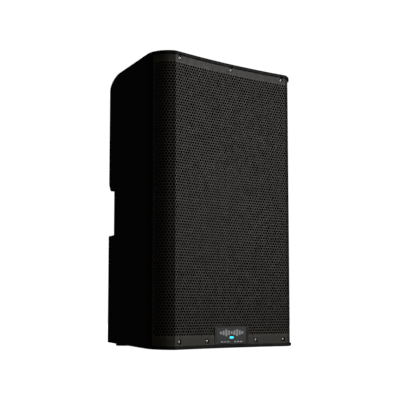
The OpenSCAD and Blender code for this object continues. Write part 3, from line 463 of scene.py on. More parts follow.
DULL = "Specular IOR Level"
LOOKS = {
    "cabinet_plastic": look(
        "cabinet_plastic", grey(9), grey(6), (0.5, 0.62), "pebble", 0.9, 0.03, **{DULL: 0.22},
    ),
    "grille_steel": look(
        "grille_steel", srgb(67, 60, 51), srgb(59, 53, 45), (0.38, 0.5), "speckle", 0.35, 0.012,
        wear=srgb(94, 85, 73), **{DULL: 0.35},
    ),
    "grille_foam": look("grille_foam", grey(5), grey(3), (0.9, 1.0), "open_cells", 0.8, 0.4, **{DULL: 0.02}),
    "gasket_foam": look("gasket_foam", grey(18), grey(14), (0.85, 0.95), "open_cells", 0.5, 0.1),
    "rubber_black": look("rubber_black", grey(26), grey(20), (0.6, 0.75), "speckle", 0.6, 0.03),
    "damping": look("damping", grey(72), grey(60), (0.9, 1.0), "open_cells", 1.2, 0.5, **{DULL: 0.1}),
    "steel_zinc": look(
        "steel_zinc", srgb(196, 197, 200), srgb(172, 174, 178), (0.2, 0.34), "turned", 0.5, 0.01, 8.0, 1.0,
    ),
    "screw_black": look("screw_black", grey(30), grey(22), (0.28, 0.42), "turned", 0.4, 0.01, 6.0, 0.7),
    "badge_black": look("badge_black", grey(10), grey(7), (0.3, 0.4), "speckle", 0.4, 0.006),
    "badge_grey": look("badge_grey", grey(52), grey(47), (0.35, 0.45), "brushed", 0.25, 0.006, 20.0, 0.3),
    "lamp_cyan": glowing("lamp_cyan", (0.02, 0.75, 1.0, 1.0), 2.0, srgb(60, 200, 230)),
    "lamp_green": glowing("lamp_green", (0.05, 0.9, 0.2, 1.0), 0.6, srgb(80, 200, 110)),
    "circuit_green": look(
        "circuit_green", srgb(18, 78, 44), srgb(12, 60, 34), (0.3, 0.42), "speckle", 0.8, 0.02, 6.0,
    ),
    "basket_black": look("basket_black", grey(34), grey(27), (0.45, 0.6), "speckle", 0.7, 0.04),
    "plated_steel": look(
        "plated_steel", srgb(182, 184, 186), srgb(150, 152, 156), (0.24, 0.4),
        "turned", 0.6, 0.012, 12.0, 1.0,
    ),
    "ferrite": look("ferrite", grey(58), grey(46), (0.7, 0.85), "speckle", 0.9, 0.05, 15.0),
    "cone_paper": look("cone_paper", grey(36), grey(28), (0.75, 0.9), "fibre", 1.6, 0.08, 12.0),
    "surround_cloth": look("surround_cloth", grey(26), grey(20), (0.6, 0.75), "weave", 0.7, 0.05),
    "spider_cloth": look(
        "spider_cloth", srgb(176, 148, 92), srgb(156, 128, 76), (0.8, 0.9), "weave", 0.6, 0.08,
    ),
    "coil_copper": look(
        "coil_copper", srgb(200, 118, 70), srgb(176, 96, 56), (0.25, 0.4), "brushed", 0.3, 0.02, 5.0, 1.0,
    ),
    "titanium": look(
        "titanium", srgb(160, 162, 166), srgb(140, 142, 148), (0.25, 0.38), "turned", 0.3, 0.006, 8.0, 1.0,
    ),
    "horn_plastic": look("horn_plastic", grey(20), grey(15), (0.4, 0.52), "speckle", 0.7, 0.015),
    "panel_paint": look(
        "panel_paint", grey(38), grey(32), (0.42, 0.56), "speckle", 0.5, 0.02, wear=grey(80),
    ),
    "heatsink_anodised": look(
        "heatsink_anodised", grey(40), grey(30), (0.3, 0.45), "brushed", 0.35, 0.012, 25.0, 0.8,
    ),
    "transformer_core": look(
        "transformer_core", srgb(150, 118, 58), srgb(96, 90, 84), (0.4, 0.6), "brushed", 0.5, 0.03, 9.0,
    ),
    "capacitor_sleeve": look(
        "capacitor_sleeve", srgb(24, 34, 92), srgb(18, 26, 74), (0.22, 0.34), "speckle", 1.0, 0.01,
    ),
    "knob_plastic": look("knob_plastic", grey(30), grey(23), (0.4, 0.55), "pebble", 0.35, 0.012),
    "connector_plastic": look("connector_plastic", grey(24), grey(18), (0.35, 0.48), "speckle", 0.5, 0.01),
    "latch_metal": look("latch_metal", grey(92), grey(76), (0.25, 0.4), "turned", 0.3, 0.01, 4.0, 0.9),
    "contact_plating": look(
        "contact_plating", srgb(214, 188, 120), srgb(196, 168, 100), (0.18, 0.3),
        "turned", 0.3, 0.006, 3.0, 1.0,
    ),
    "line_metal": look(
        "line_metal", srgb(190, 192, 196), srgb(160, 162, 168), (0.2, 0.35), "turned", 0.3, 0.008, 4.0, 1.0,
    ),
    "slider_white": look("slider_white", grey(222), grey(206), (0.35, 0.5), "speckle", 0.4, 0.01),
    "rocker_red": look(
        "rocker_red", srgb(168, 22, 16), srgb(140, 16, 12), (0.25, 0.38), "speckle", 0.5, 0.01,
    ),
    "handle_metal": look("handle_metal", grey(30), grey(24), (0.55, 0.7), "pebble", 0.8, 0.03),
    "lead_red": look("lead_red", srgb(150, 20, 18), srgb(120, 14, 12), (0.35, 0.5), "speckle", 0.8, 0.02),
}
PRINT_WHITE = look("print_white", grey(226), grey(206), (0.45, 0.6), "speckle", 0.3, 0.004, 4.0)


def finished(obj, slot, body="cabinet", replaces=(), material=None):
    """Gives a new piece its material (the look of that slot unless material is given) and its body, and
    hides the CAD nodes that it stands for.
    """
    obj.data.materials.clear()
    obj.data.materials.append(material or LOOKS[slot])
    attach(obj, body)
    if replaces:
        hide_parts(*replaces)
    return obj


# ---- grille ----


class Sheet:
    """The bent grille: u runs along its outline from the middle of the front, and depth goes inwards."""

    def __init__(self, w, end_y):
        outer, crease_a = front_curve(w, 64)
        inner, _ = front_curve(w + 1, 64)
        end_a = -math.acos(0) + math.acos((CORNER_C[1] - end_y) / (CORNER_R - w))
        outer += arc(CORNER_C, CORNER_R - w, crease_a, end_a, 48)[1:]
        inner += arc(CORNER_C, CORNER_R - w - 1, crease_a, end_a, 48)[1:]
        self.line = np.array(outer)
        self.inward = np.array(inner) - self.line
        steps = np.linalg.norm(np.diff(self.line, axis=0), axis=1)
        self.u = np.concatenate([[0.0], np.cumsum(steps)])
        self.crease_u = float(self.u[64])
        self.end_u = float(self.u[-1])

    def points(self, u, z, depth):
        """Points in millimetres for arrays of u, z and depth."""
        u, z, depth = (np.asarray(v, float) for v in (u, z, depth))
        side, along = np.sign(u) + (u == 0), np.abs(u)
        x, y = (
            np.interp(along, self.u, self.line[:, k]) + depth * np.interp(along, self.u, self.inward[:, k])
            for k in (0, 1)
        )
        return np.stack([side * x, y, z], axis=1)

    def u_at(self, x):
        return float(np.copysign(np.interp(abs(x), self.line[:, 0], self.u), x))


class Flat:
    """Faces drawn flat in (u, z), each corner with its depth, to be bent onto a Sheet."""

    def __init__(self):
        self.index, self.corners, self.faces = {}, [], []

    def corner(self, u, z, depth=0.0):
        key = (round(u, 3), round(z, 3))
        if key not in self.index:
            self.index[key] = len(self.corners)
            self.corners.append((u, z, depth))
        return self.index[key]

    def face(self, *corners):
        ids = [self.corner(*c) for c in corners]
        self.faces.append(tuple(i for k, i in enumerate(ids) if i != ids[k - 1]))

    def solid(self, sheet, thickness):
        """Points and faces of a closed sheet of that thickness."""
        u, z, depth = np.array(self.corners).T
        outer = sheet.points(u, z, depth)
        inner = sheet.points(u, z, depth + thickness)
        n = len(outer)
        directed = {(f[k - 1], f[k]) for f in self.faces for k in range(len(f))}
        walls = [(b, a, a + n, b + n) for a, b in directed if (b, a) not in directed]
        back = [tuple(n + i for i in reversed(f)) for f in self.faces]
        return np.vstack([outer, inner]), self.faces + back + walls


GRILLE = Sheet(GRILLE_SET, GRILLE_END_Y - GRILLE_CLEAR)
ROWS = 98
FRONT_HALVES = 93
HALF_PITCH = 2 * GRILLE.crease_u / FRONT_HALVES
ROW_STEP = (BAND_Z1 - BAND_Z0) / (ROWS + 1 / 3)
CELL_R = ROW_STEP * 2 / 3
WRAP_HALVES = int((GRILLE.end_u - GRILLE.crease_u - 1.2) / HALF_PITCH)
BADGE_GAP_X, BADGE_GAP_Z = BADGE_X - 1.5, BADGE_Z1 - 1.5


def behind_badge(u, z):
    return abs(u) < BADGE_GAP_X and z < BADGE_GAP_Z


def lattice_u(k):
    return -GRILLE.crease_u + k * HALF_PITCH


def add_cell(flat, u, z, low, high):
    """A six-sided cell with a round hole; low and high are where the field's straight edges cut it."""
    rim = []
    for du, dz in ((1, 0.5), (0, 1), (-1, 0.5), (-1, -0.5), (0, -1), (1, -0.5)):
        corner_z = z + dz * CELL_R
        if dz > 0 and high is not None:
            corner_z = high
        if dz < 0 and low is not None:
            corner_z = low
        rim.append((u + du * HALF_PITCH, corner_z))
    hole = [(u + HOLE_R * math.cos(a), z + HOLE_R * math.sin(a)) for a in turns(12)]
    for k in range(6):
        here, after = rim[k], rim[(k + 1) % 6]
        c0, c1, c2 = hole[2 * k + 1], hole[(2 * k + 2) % 12], hole[(2 * k + 3) % 12]
        flat.face(here, c1, c0)
        flat.face(here, after, c1)
        flat.face(after, c2, c1)


def add_row(flat, j):
    """One row of holes, with the plain margins at both of its ends."""
    z = BAND_Z0 + CELL_R + j * ROW_STEP
    low = BAND_Z0 if j == 0 else None
    high = BAND_Z1 if j == ROWS - 1 else None
    first, last = -WRAP_HALVES, FRONT_HALVES + WRAP_HALVES
    for k in range(first + 1, last):
        if (k - j) % 2 == 0 and not behind_badge(lattice_u(k), z):
            add_cell(flat, lattice_u(k), z, low, high)
    for edge, step in ((first, 1), (last, -1)):
        flush = (edge + step - j) % 2 == 0
        reach = CELL_R / 2 if flush else CELL_R
        z0 = low if low is not None else z - reach
        z1 = high if high is not None else z + reach
        u0, u1 = lattice_u(edge), lattice_u(edge + step)
        end = math.copysign(GRILLE.end_u, u0)
        margin = [(end, z0), (u0, z0), (u0, z1), (end, z1)]
        flat.face(*(margin if step > 0 else reversed(margin)))
        if not flush:
            near0 = low if low is not None else z - CELL_R / 2
            near1 = high if high is not None else z + CELL_R / 2
            filler = [(u0, z0), (u1, near0), (u1, near1), (u0, z1)]
            flat.face(*(filler if step > 0 else reversed(filler)))


DIMPLE = ((1.0, 0.0), (0.965, 0.1), (0.93, 0.45), (0.9, 1.3), (0.87, 2.1), (0.81, 2.4), (0.5, 2.4))


def add_dimple(flat, u, z, half, r):
    """A square tile with a pressed round recess, whose floor has the screw's hole."""
    rim = []
    for a in turns(32):
        reach = half / max(abs(math.cos(a)), abs(math.sin(a)))
        rim.append((u + reach * math.cos(a), z + reach * math.sin(a), 0.0))
    rings = [rim] + [
        [(u + r * share * math.cos(a), z + r * share * math.sin(a), depth) for a in turns(32)]
        for share, depth in DIMPLE
    ]
    for outer, inner in zip(rings, rings[1:]):
        for k in range(32):
            flat.face(outer[k], outer[(k + 1) % 32], inner[(k + 1) % 32], inner[k])


def add_band(flat, z0, z1, screw_z, screw_xs, half, r, gap=0.0):
    """A plain band with a recess at each screw, and a gap in its middle where the badge sits."""
    side = [half * math.tan(a) for a in (math.pi / 4 * k / 4 for k in range(-4, 5))]
    spans = [(GRILLE.u_at(x) - half, GRILLE.u_at(x) + half) for x in screw_xs]
    lines = {GRILLE.crease_u, -GRILLE.crease_u, GRILLE.end_u, -GRILLE.end_u, gap, -gap}
    lines |= {GRILLE.u_at(x) + s for x in screw_xs for s in side}
    n = 90
    spread = [-GRILLE.end_u + 2 * GRILLE.end_u * k / n for k in range(n + 1)]
    lines |= {u for u in spread if all(abs(u - v) > 1.2 for v in lines)}
    us = sorted({round(u, 4) for u in lines})
    zs = sorted({z0, z1} | {screw_z + s for s in side})
    for u0, u1 in zip(us, us[1:]):
        middle = (u0 + u1) / 2
        if abs(middle) < gap:
            continue
        for za, zb in zip(zs, zs[1:]):
            if any(a < middle < b for a, b in spans) and abs((za + zb) / 2 - screw_z) < half:
                continue
            flat.face((u0, za), (u1, za), (u1, zb), (u0, zb))
    for x in screw_xs:
        add_dimple(flat, GRILLE.u_at(x), screw_z, half, r)


SCREW_X, INNER_SCREW_X = 120.0, 56.5
TOP_SCREW_Z, BOTTOM_SCREW_Z = LIP_UNDER - 4.7, SILL_TOP + 6.9
TOP_SCREWS = [-SCREW_X, 0.0, SCREW_X]
BOTTOM_SCREWS = [-SCREW_X, -INNER_SCREW_X, INNER_SCREW_X, SCREW_X]


def make_grille():
    sheet_z0, sheet_z1 = SILL_TOP + 0.4, LIP_UNDER - 0.3
    middle = ROWS // 2
    for name, rows in (("grille_lower", range(middle)), ("grille_upper", range(middle, ROWS))):
        field, band = Flat(), Flat()
        for j in rows:
            add_row(field, j)
        if name == "grille_upper":
            add_band(band, BAND_Z1, sheet_z1, TOP_SCREW_Z, TOP_SCREWS, 4.37, 4.3)
        else:
            add_band(band, sheet_z0, BAND_Z0, BOTTOM_SCREW_Z, BOTTOM_SCREWS, 5.2, 4.8, BADGE_GAP_X)
        shapes = [flat.solid(GRILLE, GRILLE_T) for flat in (field, band)]
        made = shade(make_object(name, *joined(*shapes)), 18)
        finished(made, "grille_steel", replaces=["grille"])


def make_grille_foam():
    """The foam sheet behind the grille: soft edges, and a face that is never quite flat."""
    sheet = Sheet(BAY_SET, BAFFLE_Y - 1)
    flat = Flat()
    rng = np.random.default_rng(7)
    z0, z1 = BAND_Z0 + 1, BAND_Z1 - 1
    us = np.linspace(-sheet.end_u, sheet.end_u, 71)
    zs = np.linspace(z0, z1, 97)
    gap_u, gap_z = BADGE_X + 2, BADGE_Z1 + 2
    for u0, u1 in zip(us, us[1:]):
        for za, zb in zip(zs, zs[1:]):
            if not (abs((u0 + u1) / 2) < gap_u and (za + zb) / 2 < gap_z):
                flat.face((u0, za), (u1, za), (u1, zb), (u0, zb))
    flat.corners = [(u, z, 0.3 + 0.2 * rng.random()) for u, z, _ in flat.corners]
    foam = make_object("grille_foam_sheet", *flat.solid(sheet, FOAM_T - 0.8))
    round_edges(shade(foam, 60), 0.8)
    finished(foam, "grille_foam", replaces=["grille_foam"])


def revolved(profile, centre, axis, sides=32):
    """Points and faces of a closed profile of (radius, height) turned about axis.

    The first and last radius may be 0.
    """
    turn = Vector((0, 0, 1)).rotation_difference(Vector(axis)).to_matrix()
    rings = []
    for r, h in profile:
        r = max(r, 0.001)
        ring = [turn @ Vector((r * math.cos(a), r * math.sin(a), h)) for a in turns(sides)]
        rings.append([tuple(Vector(centre) + p) for p in ring])
    return loft(rings)


def moved(shape, offset):
    points, faces = shape
    return [(x + offset[0], y + offset[1], z + offset[2]) for x, y, z in points], faces


def taken(obj):
    """An object's shape in millimetres; the object goes."""
    mesh = obj.data
    shape = [tuple(v.co / MM) for v in mesh.vertices], [tuple(p.vertices) for p in mesh.polygons]
    bpy.data.objects.remove(obj)
    bpy.data.meshes.remove(mesh)
    return shape


def make_grille_screws():
    """Domed socket screws, at the bottom of the grille's recesses."""
    head = [
        (0, -9.5), (1.9, -9.5), (1.9, 0), (3.1, 0), (3.15, 0.5),
        (2.95, 1.1), (2.5, 1.55), (1.9, 1.8), (0, 1.85),
    ]
    blank = make_object("screw_blank", *revolved(head, (0, 0, 0), (0, -1, 0)))
    socket = [(1.45 * math.cos(a), 1.45 * math.sin(a)) for a in turns(6)]
    hole = loft([[(x, y, z) for x, z in socket] for y in (-4.0, -0.5)])
    screw = taken(carve(outward(blank), hole))
    places = [(x, TOP_SCREW_Z) for x in TOP_SCREWS] + [(x, BOTTOM_SCREW_Z) for x in BOTTOM_SCREWS]
    shapes = [moved(screw, (x, face_y(x, GRILLE_SET) + 2.4, z)) for x, z in places]
    made = shade(make_object("grille_screw_set", *joined(*shapes)), 30)
    finished(made, "steel_zinc", replaces=["grille_screws"])


# ---- badge ----


def framed(rings):
    """Rings of (half width, half height, corner radius, y), about the badge's middle."""
    z = (BADGE_Z0 + BADGE_Z1) / 2
    return [[(x, y, z + dz) for x, dz in rounded_rect(hx, hz, r, 8)] for hx, hz, r, y in rings]


MARK_BARS = (5, 8, 12, 8, 5, 8, 12, 8, 5)


def make_badge():
    half_z = (BADGE_Z1 - BADGE_Z0) / 2
    back_y, front = BADGE_Y + 6, BADGE_Y
    profile = [
        (0.0, 2.5, back_y), (0.0, 2.5, front + 1.1), (0.35, 2.4, front + 0.35), (1.1, 2.2, front),
        (3.6, 1.6, front), (4.3, 1.2, front + 0.3), (4.7, 1.0, front + 0.9), (4.75, 1.0, back_y),
    ]
    rings = framed([(BADGE_X - d, half_z - d * 0.42, r, y) for d, r, y in profile])
    bezel = shade(outward(make_object("badge_frame", *loft(rings, loop=True))), 40)
    finished(bezel, "badge_black", replaces=["badge_bezel"])
    marks = []
    bars = [((k - len(MARK_BARS) // 2) * 6.2, 28.4, 2.3, height / 2) for k, height in enumerate(MARK_BARS)]
    dashes = [(x, 12.6, 2.6, 1.1) for x in (-22, -15, -8, 8, 15, 22)]
    for x, z, mark_x, mark_z in bars + dashes:
        outline = [(x + dx, z + dz) for dx, dz in rounded_rect(mark_x, mark_z, 0.9)]
        marks.append(loft([[(px, y, pz) for px, pz in outline] for y in (BADGE_Y + 0.62, BADGE_Y + 0.85)]))
    made = shade(outward(make_object("badge_mark", *joined(*marks))), 40)
    finished(made, "badge_grey", material=PRINT_WHITE)


# ---- enclosure ----


def cabinet(w):
    """Points and faces of the whole cabinet as a solid, set in by w."""
    round_r, top = REAR_TOP_R - w, CAB_H - w
    rings = [
        [(x, y, under_z(y, w)) for x, y in plan(w + 1.2)],
        [(x, y, under_z(y, w) + 1.2) for x, y in plan(w)],
    ]
    if w > 0:
        rings = [[(x, y, under_z(y, w)) for x, y in plan(w)]]
    for step in range(0, 19):
        a = math.radians(5 * step)
        below = round_r * (1 - math.sin(a))
        edge_in = 0.0
        if below < TOP_EDGE_R:
            edge_in = TOP_EDGE_R - math.sqrt(max(TOP_EDGE_R**2 - (TOP_EDGE_R - below) ** 2, 0.0))
        q = max(round_r * (1 - math.cos(a)) - edge_in, 0.0)
        rings.append([(x, y, top - below) for x, y in plan(w + edge_in, q)])
    return loft(rings)


def grille_bay(w, end_y, z0, z1):
    """What is cut away in front of the outline set in by w, back to end_y."""
    right = [p for p in plan_right(w, fine=2) if p[1] < end_y]
    x_end = right[-1][0]
    curve = [*reversed(right), *((-x, y) for x, y in right[1:])]
    wide = CAB_W
    outline = [(wide, FRONT_Y - 5), (wide, end_y), (x_end, end_y), *curve, (-x_end, end_y)]
    outline += [(-wide, end_y), (-wide, FRONT_Y - 5)]
    return prism(list(reversed(outline)), z0, z1)


def holes_y(places, r, y0, y1, sides=48):
    return joined(*(tube((x, y0, z), (0, 1, 0), r, r, y1 - y0, sides) for x, z in places))


CASE_SCREWS = [(side * 140, z) for side in (-1, 1) for z in (70, 200, 330, 460)]


def case_bosses(y0, y1):
    blocks = []
    for x, z in CASE_SCREWS:
        x0, x1 = sorted((x - math.copysign(7, x), math.copysign(CAB_W / 2, x)))
        blocks.append(block((x0, y0, z - 7), (x1, y1, z + 7)))
    return joined(*blocks)


def make_front_baffle():
    body = outward(make_object("front_baffle_moulding", *cabinet(0)))
    carve(body, block((-CAB_W, SEAM_Y - SEAM_GAP, -20), (CAB_W, REAR_Y + 50, CAB_H + 50)))
    inside = outward(make_object("front_room", *cabinet(WALL)))
    carve(inside, block((-CAB_W, FRONT_Y - 50, -20), (CAB_W, BAFFLE_Y + BAFFLE_T, CAB_H + 50)))
    carve(inside, case_bosses(BAFFLE_Y, SEAM_Y + 60))
    front = FRONT_Y - 5
    woofer, horn = [(0, 160)], [(0, 396)]
    carve(
        body,
        grille_bay(BAY_SET, GRILLE_END_Y, SILL_TOP, LIP_UNDER),
        grille_bay(BAY_SET + FOAM_T + 0.3, GRILLE_END_Y - 0.1, BAND_Z0, BAND_Z1),
        block((-CAB_W, front, BAND_Z0), (CAB_W, BAFFLE_Y, BAND_Z1)),
        taken(inside),
        holes_y(woofer, 116, BAFFLE_Y - 1, BAFFLE_Y + 9, 96),
        holes_y(horn, 86.5, BAFFLE_Y - 1, BAFFLE_Y + 9, 96),
        holes_y([(-112, 52), (112, 52)], 23.6, BAFFLE_Y - 1, BAFFLE_Y + 9),
        holes_y(CASE_SCREWS, 2.1, BAFFLE_Y - 1, SEAM_Y, 16),
        holes_y([(x, TOP_SCREW_Z) for x in TOP_SCREWS], 6, front, FRONT_Y + 12, 24),
        holes_y([(x, BOTTOM_SCREW_Z) for x in BOTTOM_SCREWS], 6, front, FRONT_Y + 12, 24),
        block((-BADGE_X - 0.4, front, SILL_TOP + 0.2), (BADGE_X + 0.4, BAFFLE_Y - 12.6, BADGE_Z1 + 0.4)),
        block((-22, front, 11), (22, BAFFLE_Y - 8, 35)),
    )
    clean(body)
    round_edges(body, 0.8)
    finished(body, "cabinet_plastic", replaces=["front_baffle"])


def grip_cut(side, grow):
    """The hand-hold: a step across the rear facet, with a deeper pocket for the fingers at its front end."""
    along = Vector((-math.sin(FACET_TAPER), math.cos(FACET_TAPER)))
    inward = Vector((-math.cos(FACET_TAPER), -math.sin(FACET_TAPER)))
    corner = Vector((FACET_X, FACET_Y))
    pocket, step = corner + inward * (24 + grow), corner + inward * (10 + grow)
    outline = [
        Vector((FACET_X + 12, FACET_Y - 30 - grow)),
        pocket - along * 6, pocket + along * 44, step + along * 56,
        step + along * 120, corner + along * 120 - inward * 30, Vector((CAB_W / 2 + 20, FACET_Y)),
    ]
    return prism([(side * p.x, p.y) for p in outline], GRIP_Z0 - grow, GRIP_Z1 + grow)


GRIP_Z0, GRIP_Z1 = 210.0, 309.0
PANEL_X, PANEL_Z0, PANEL_Z1 = 59.0, 90.0, 410.0
WELL_X, WELL_Y0, WELL_Y1, WELL_FLOOR = 68.0, -50.0, 30.0, CAB_H - 47
BAR_X, BAR_W, BAR_T = 90.0, 26.0, 15.0
BAR_Y = (WELL_Y0 + WELL_Y1) / 2
FEET = [(-105, -78), (105, -78), (-78, 92), (78, 92)]
TOP_INSERTS = [(-112, -30), (112, -30)]


def sloped(lo, hi, w):
    """A block whose top follows the underside, w above it."""
    outline = [(lo[0], lo[1]), (hi[0], lo[1]), (hi[0], hi[1]), (lo[0], hi[1])]
    return loft([[(x, y, -20) for x, y in outline], [(x, y, under_z(y, w)) for x, y in outline]])


def holes_z(places, r, z0, z1, sides=32):
    return joined(*(tube((x, y, z0), (0, 0, 1), r, r, z1 - z0, sides) for x, y in places))


def make_rear_shell():
    body = outward(make_object("rear_shell_moulding", *cabinet(0)))
    carve(body, block((-CAB_W, FRONT_Y - 50, -20), (CAB_W, SEAM_Y + SEAM_GAP, CAB_H + 50)))
    inside = outward(make_object("rear_room", *cabinet(WALL)))
    carve(
        inside,
        block((-PANEL_X - 7, PANEL_IN_Y - 8, PANEL_Z0 - 7), (PANEL_X + 7, REAR_Y + 9, PANEL_Z1 + 7)),
        grip_cut(-1, WALL - 1),
        grip_cut(1, WALL - 1),
        block((-WELL_X - 4, WELL_Y0 - 4, WELL_FLOOR - 4), (WELL_X + 4, WELL_Y1 + 4, CAB_H + 9)),
        block(
            (-BAR_X - 6, BAR_Y - BAR_W / 2 - 4, CAB_H - BAR_T - 7),
            (BAR_X + 6, BAR_Y + BAR_W / 2 + 4, CAB_H + 9),
        ),
        sloped((-44, -20), (44, 114), WALL + 4),
        holes_z(TOP_INSERTS, 14, CAB_H - 26, CAB_H + 9),
        holes_y([(0, 52)], 14, REAR_Y - 26, REAR_Y + 9),
        case_bosses(SEAM_Y - 20, SEAM_Y + 22),
    )
    bottom_screws = [(x, y) for x in (-31, 31) for y in (-9, 105)]
    carve(
        body,
        taken(inside),
        grip_cut(-1, 0),
        grip_cut(1, 0),
        block(
            (-PANEL_X - 0.5, PANEL_IN_Y - 1.5, PANEL_Z0 - 0.5),
            (PANEL_X + 0.5, REAR_Y + 9, PANEL_Z1 + 0.5),
        ),
        block((-PANEL_X + 7, PANEL_IN_Y - 20, PANEL_Z0 + 7), (PANEL_X - 7, REAR_Y + 9, PANEL_Z1 - 7)),
        block((-WELL_X, WELL_Y0, WELL_FLOOR), (WELL_X, WELL_Y1, CAB_H + 9)),
        block(
            (-BAR_X - 0.3, BAR_Y - BAR_W / 2 - 0.3, CAB_H - BAR_T - 1),
            (BAR_X + 0.3, BAR_Y + BAR_W / 2 + 0.3, CAB_H + 9),
        ),
        sloped((-36.3, -14.3), (36.3, 110.3), 4),
        block((-25, -3, -20), (25, 103, 30)),
        holes_z(bottom_screws, 2.1, -10, 13, 16),
        holes_z(TOP_INSERTS, 9.1, CAB_H - 22, CAB_H + 9, 6),
        holes_y([(0, 52)], 9.1, REAR_Y - 22, REAR_Y + 9, 6),
        joined(*(holes_z([at], 16.2, -10, under_z(at[1], 2.6), 40) for at in FEET)),
        holes_y(CASE_SCREWS, 2.1, SEAM_Y - 5, SEAM_Y + 18, 16),
    )
    clean(body)
    round_edges(body, 1.0)
    finished(body, "cabinet_plastic", replaces=["rear_shell"])


def make_damping():
    """Two slabs of profiled foam on the side walls, with rows of rounded peaks facing inwards."""
    lo, hi = box_mm("damping_foam")
    nu, nz, length, height = 60, 150, 90.0, 365.0
    shapes = []
    for side in (-1, 1):
        along = Vector((-side * math.sin(SIDE_TAPER), math.cos(SIDE_TAPER), 0))
        inward = Vector((-side * math.cos(SIDE_TAPER), -math.sin(SIDE_TAPER), 0))
        wall = Vector((side * FACET_X, FACET_Y, 0))
        points, faces = [], []
        for back in (0, 1):
            for i in range(nu + 1):
                for k in range(nz + 1):
                    u, z = -132 + length * i / nu, lo[2] + height * k / nz
                    edge = min(i, nu - i, 2) / 2 * min(k, nz - k, 2) / 2
                    peak = (0.5 + 0.5 * math.sin(u / 15 * math.tau) * math.sin(z / 15 * math.tau)) ** 1.3
                    depth = WALL + 1.2 if back else WALL + 3.0 + edge * (1.6 + 6.0 * peak)
                    p = wall + along * u + inward * depth
                    points.append((p.x, p.y, z))
        row, layer = nz + 1, (nu + 1) * (nz + 1)
        for i in range(nu):
            for k in range(nz):
                a = i * row + k
                faces.append((a, a + row, a + row + 1, a + 1))
                faces.append((layer + a, layer + a + 1, layer + a + row + 1, layer + a + row))
        rim = [i * row for i in range(nu + 1)] + [nu * row + k for k in range(1, row)]
        rim += [i * row + nz for i in range(nu - 1, -1, -1)] + list(range(nz - 1, 0, -1))
        faces += [(a, b, b + layer, a + layer) for a, b in zip(rim, rim[1:] + rim[:1])]
        shapes.append((points, faces))
    made = shade(outward(make_object("damping_foam_slabs", *joined(*shapes))), 60)
    finished(made, "damping", replaces=["damping_foam"])


# ---- rear panel print ----


def make_print():
    """Scales round the gain knobs, and plain frames round the groups of sockets, printed on the panel."""
    y0, y1 = PANEL_Y - 0.05, PANEL_Y + 0.08
    shapes = []

    def printed(outline):
        shapes.append(loft([[(x, y, z) for x, z in outline] for y in (y0, y1)]))

    for knob_x in (-40, 40):
        for k in range(11):
            a = math.radians(90 + 150 - 30 * k)
            radial, cross = Vector((math.cos(a), math.sin(a))), Vector((-math.sin(a), math.cos(a)))
            centre = Vector((knob_x, 388))
            wide, far = (0.35, 12.6) if k % 5 == 0 else (0.22, 12.0)
            corners = ((10.4, -wide), (far, -wide), (far, wide), (10.4, wide))
            printed([tuple(centre + radial * r + cross * s) for r, s in corners])
    frames = ((-57, -12, 342.5, 377.5), (12, 57, 342.5, 377.5), (-57, 57, 292, 324), (-48, 48, 248, 282))
    for x0, x1, z0, z1 in frames:
        cx, cz, hx, hz = (x0 + x1) / 2, (z0 + z1) / 2, (x1 - x0) / 2, (z1 - z0) / 2
        outer = [(cx + dx, cz + dz) for dx, dz in rounded_rect(hx, hz, 2.5)]
        inner = [(cx + dx, cz + dz) for dx, dz in rounded_rect(hx - 0.35, hz - 0.35, 2.15)]
        corners = ((outer, y0), (outer, y1), (inner, y1), (inner, y0))
        rings = [[(x, y, z) for x, z in line] for line, y in corners]
        shapes.append(loft(rings, loop=True))
    for x in (-15, 0, 15):
        for z in (388 - 7.6, 388 + 7.6):
            printed([(x + 1.4 * math.cos(a), z + 0.5 * math.sin(a)) for a in turns(12)])
    made = outward(make_object("panel_print", *joined(*shapes)))
    finished(made, "panel_paint", material=PRINT_WHITE)


# ---- CAD nodes that stay ----

EDGE_WIDTHS = {
    "amp_panel": 0.25, "amp_screws": 0.2, "heatsink": 0.3, "combo_sockets": 0.3, "output_sockets": 0.35,
    "line_sockets": 0.25, "slider_frames": 0.2, "power_inlet": 0.5, "power_rocker": 0.4, "handle_bar": 1.4,
    "feet": 1.0, "pole_socket": 0.6, "rigging_inserts": 0.4, "badge_plate": 0.25, "badge_lamp": 0.3,
    "jack_latch_a": 0.3, "jack_latch_b": 0.3, "treble_slider": 0.3, "bass_slider": 0.3, "lamp_slider": 0.3,
    "gain_knob_a": 0.25, "gain_knob_b": 0.25, "case_screws": 0.2, "transformer": 0.6, "horn": 0.6,
    "hf_cap": 0.8, "hf_motor": 0.4, "hf_magnet": 0.6, "hf_bolts": 0.3, "woofer_magnet": 1.2,
    "woofer_top_plate": 0.6, "woofer_back_plate": 0.6, "gain_pots": 0.3, "badge_board": 0.1,
    "driver_screws": 0.25, "filter_capacitors": 0.8,
}


def dress_cad_nodes():
    slots = {part["node"]: part["material_slot"] for part in frame["record"]["subparts"]}
    for name, obj in frame["nodes"].items():
        if obj.hide_render:
            continue
        obj.data.materials.clear()
        obj.data.materials.append(LOOKS[slots[name]])
        if "custom_normal" in obj.data.attributes:
            obj.data.attributes.remove(obj.data.attributes["custom_normal"])
        weld = obj.modifiers.new("weld", "WELD")
        weld.merge_threshold = 2e-6
        obj.data.shade_smooth()
        if name in EDGE_WIDTHS:
            flat = obj.modifiers.new("join flat faces", "DECIMATE")
            flat.decimate_type = "DISSOLVE"
            flat.angle_limit = math.radians(0.5)
            round_edges(obj, EDGE_WIDTHS[name], 28)
        else:
            split = obj.modifiers.new("sharp edges", "EDGE_SPLIT")
            split.split_angle = math.radians(35)


# ---- stage, lights and camera ----


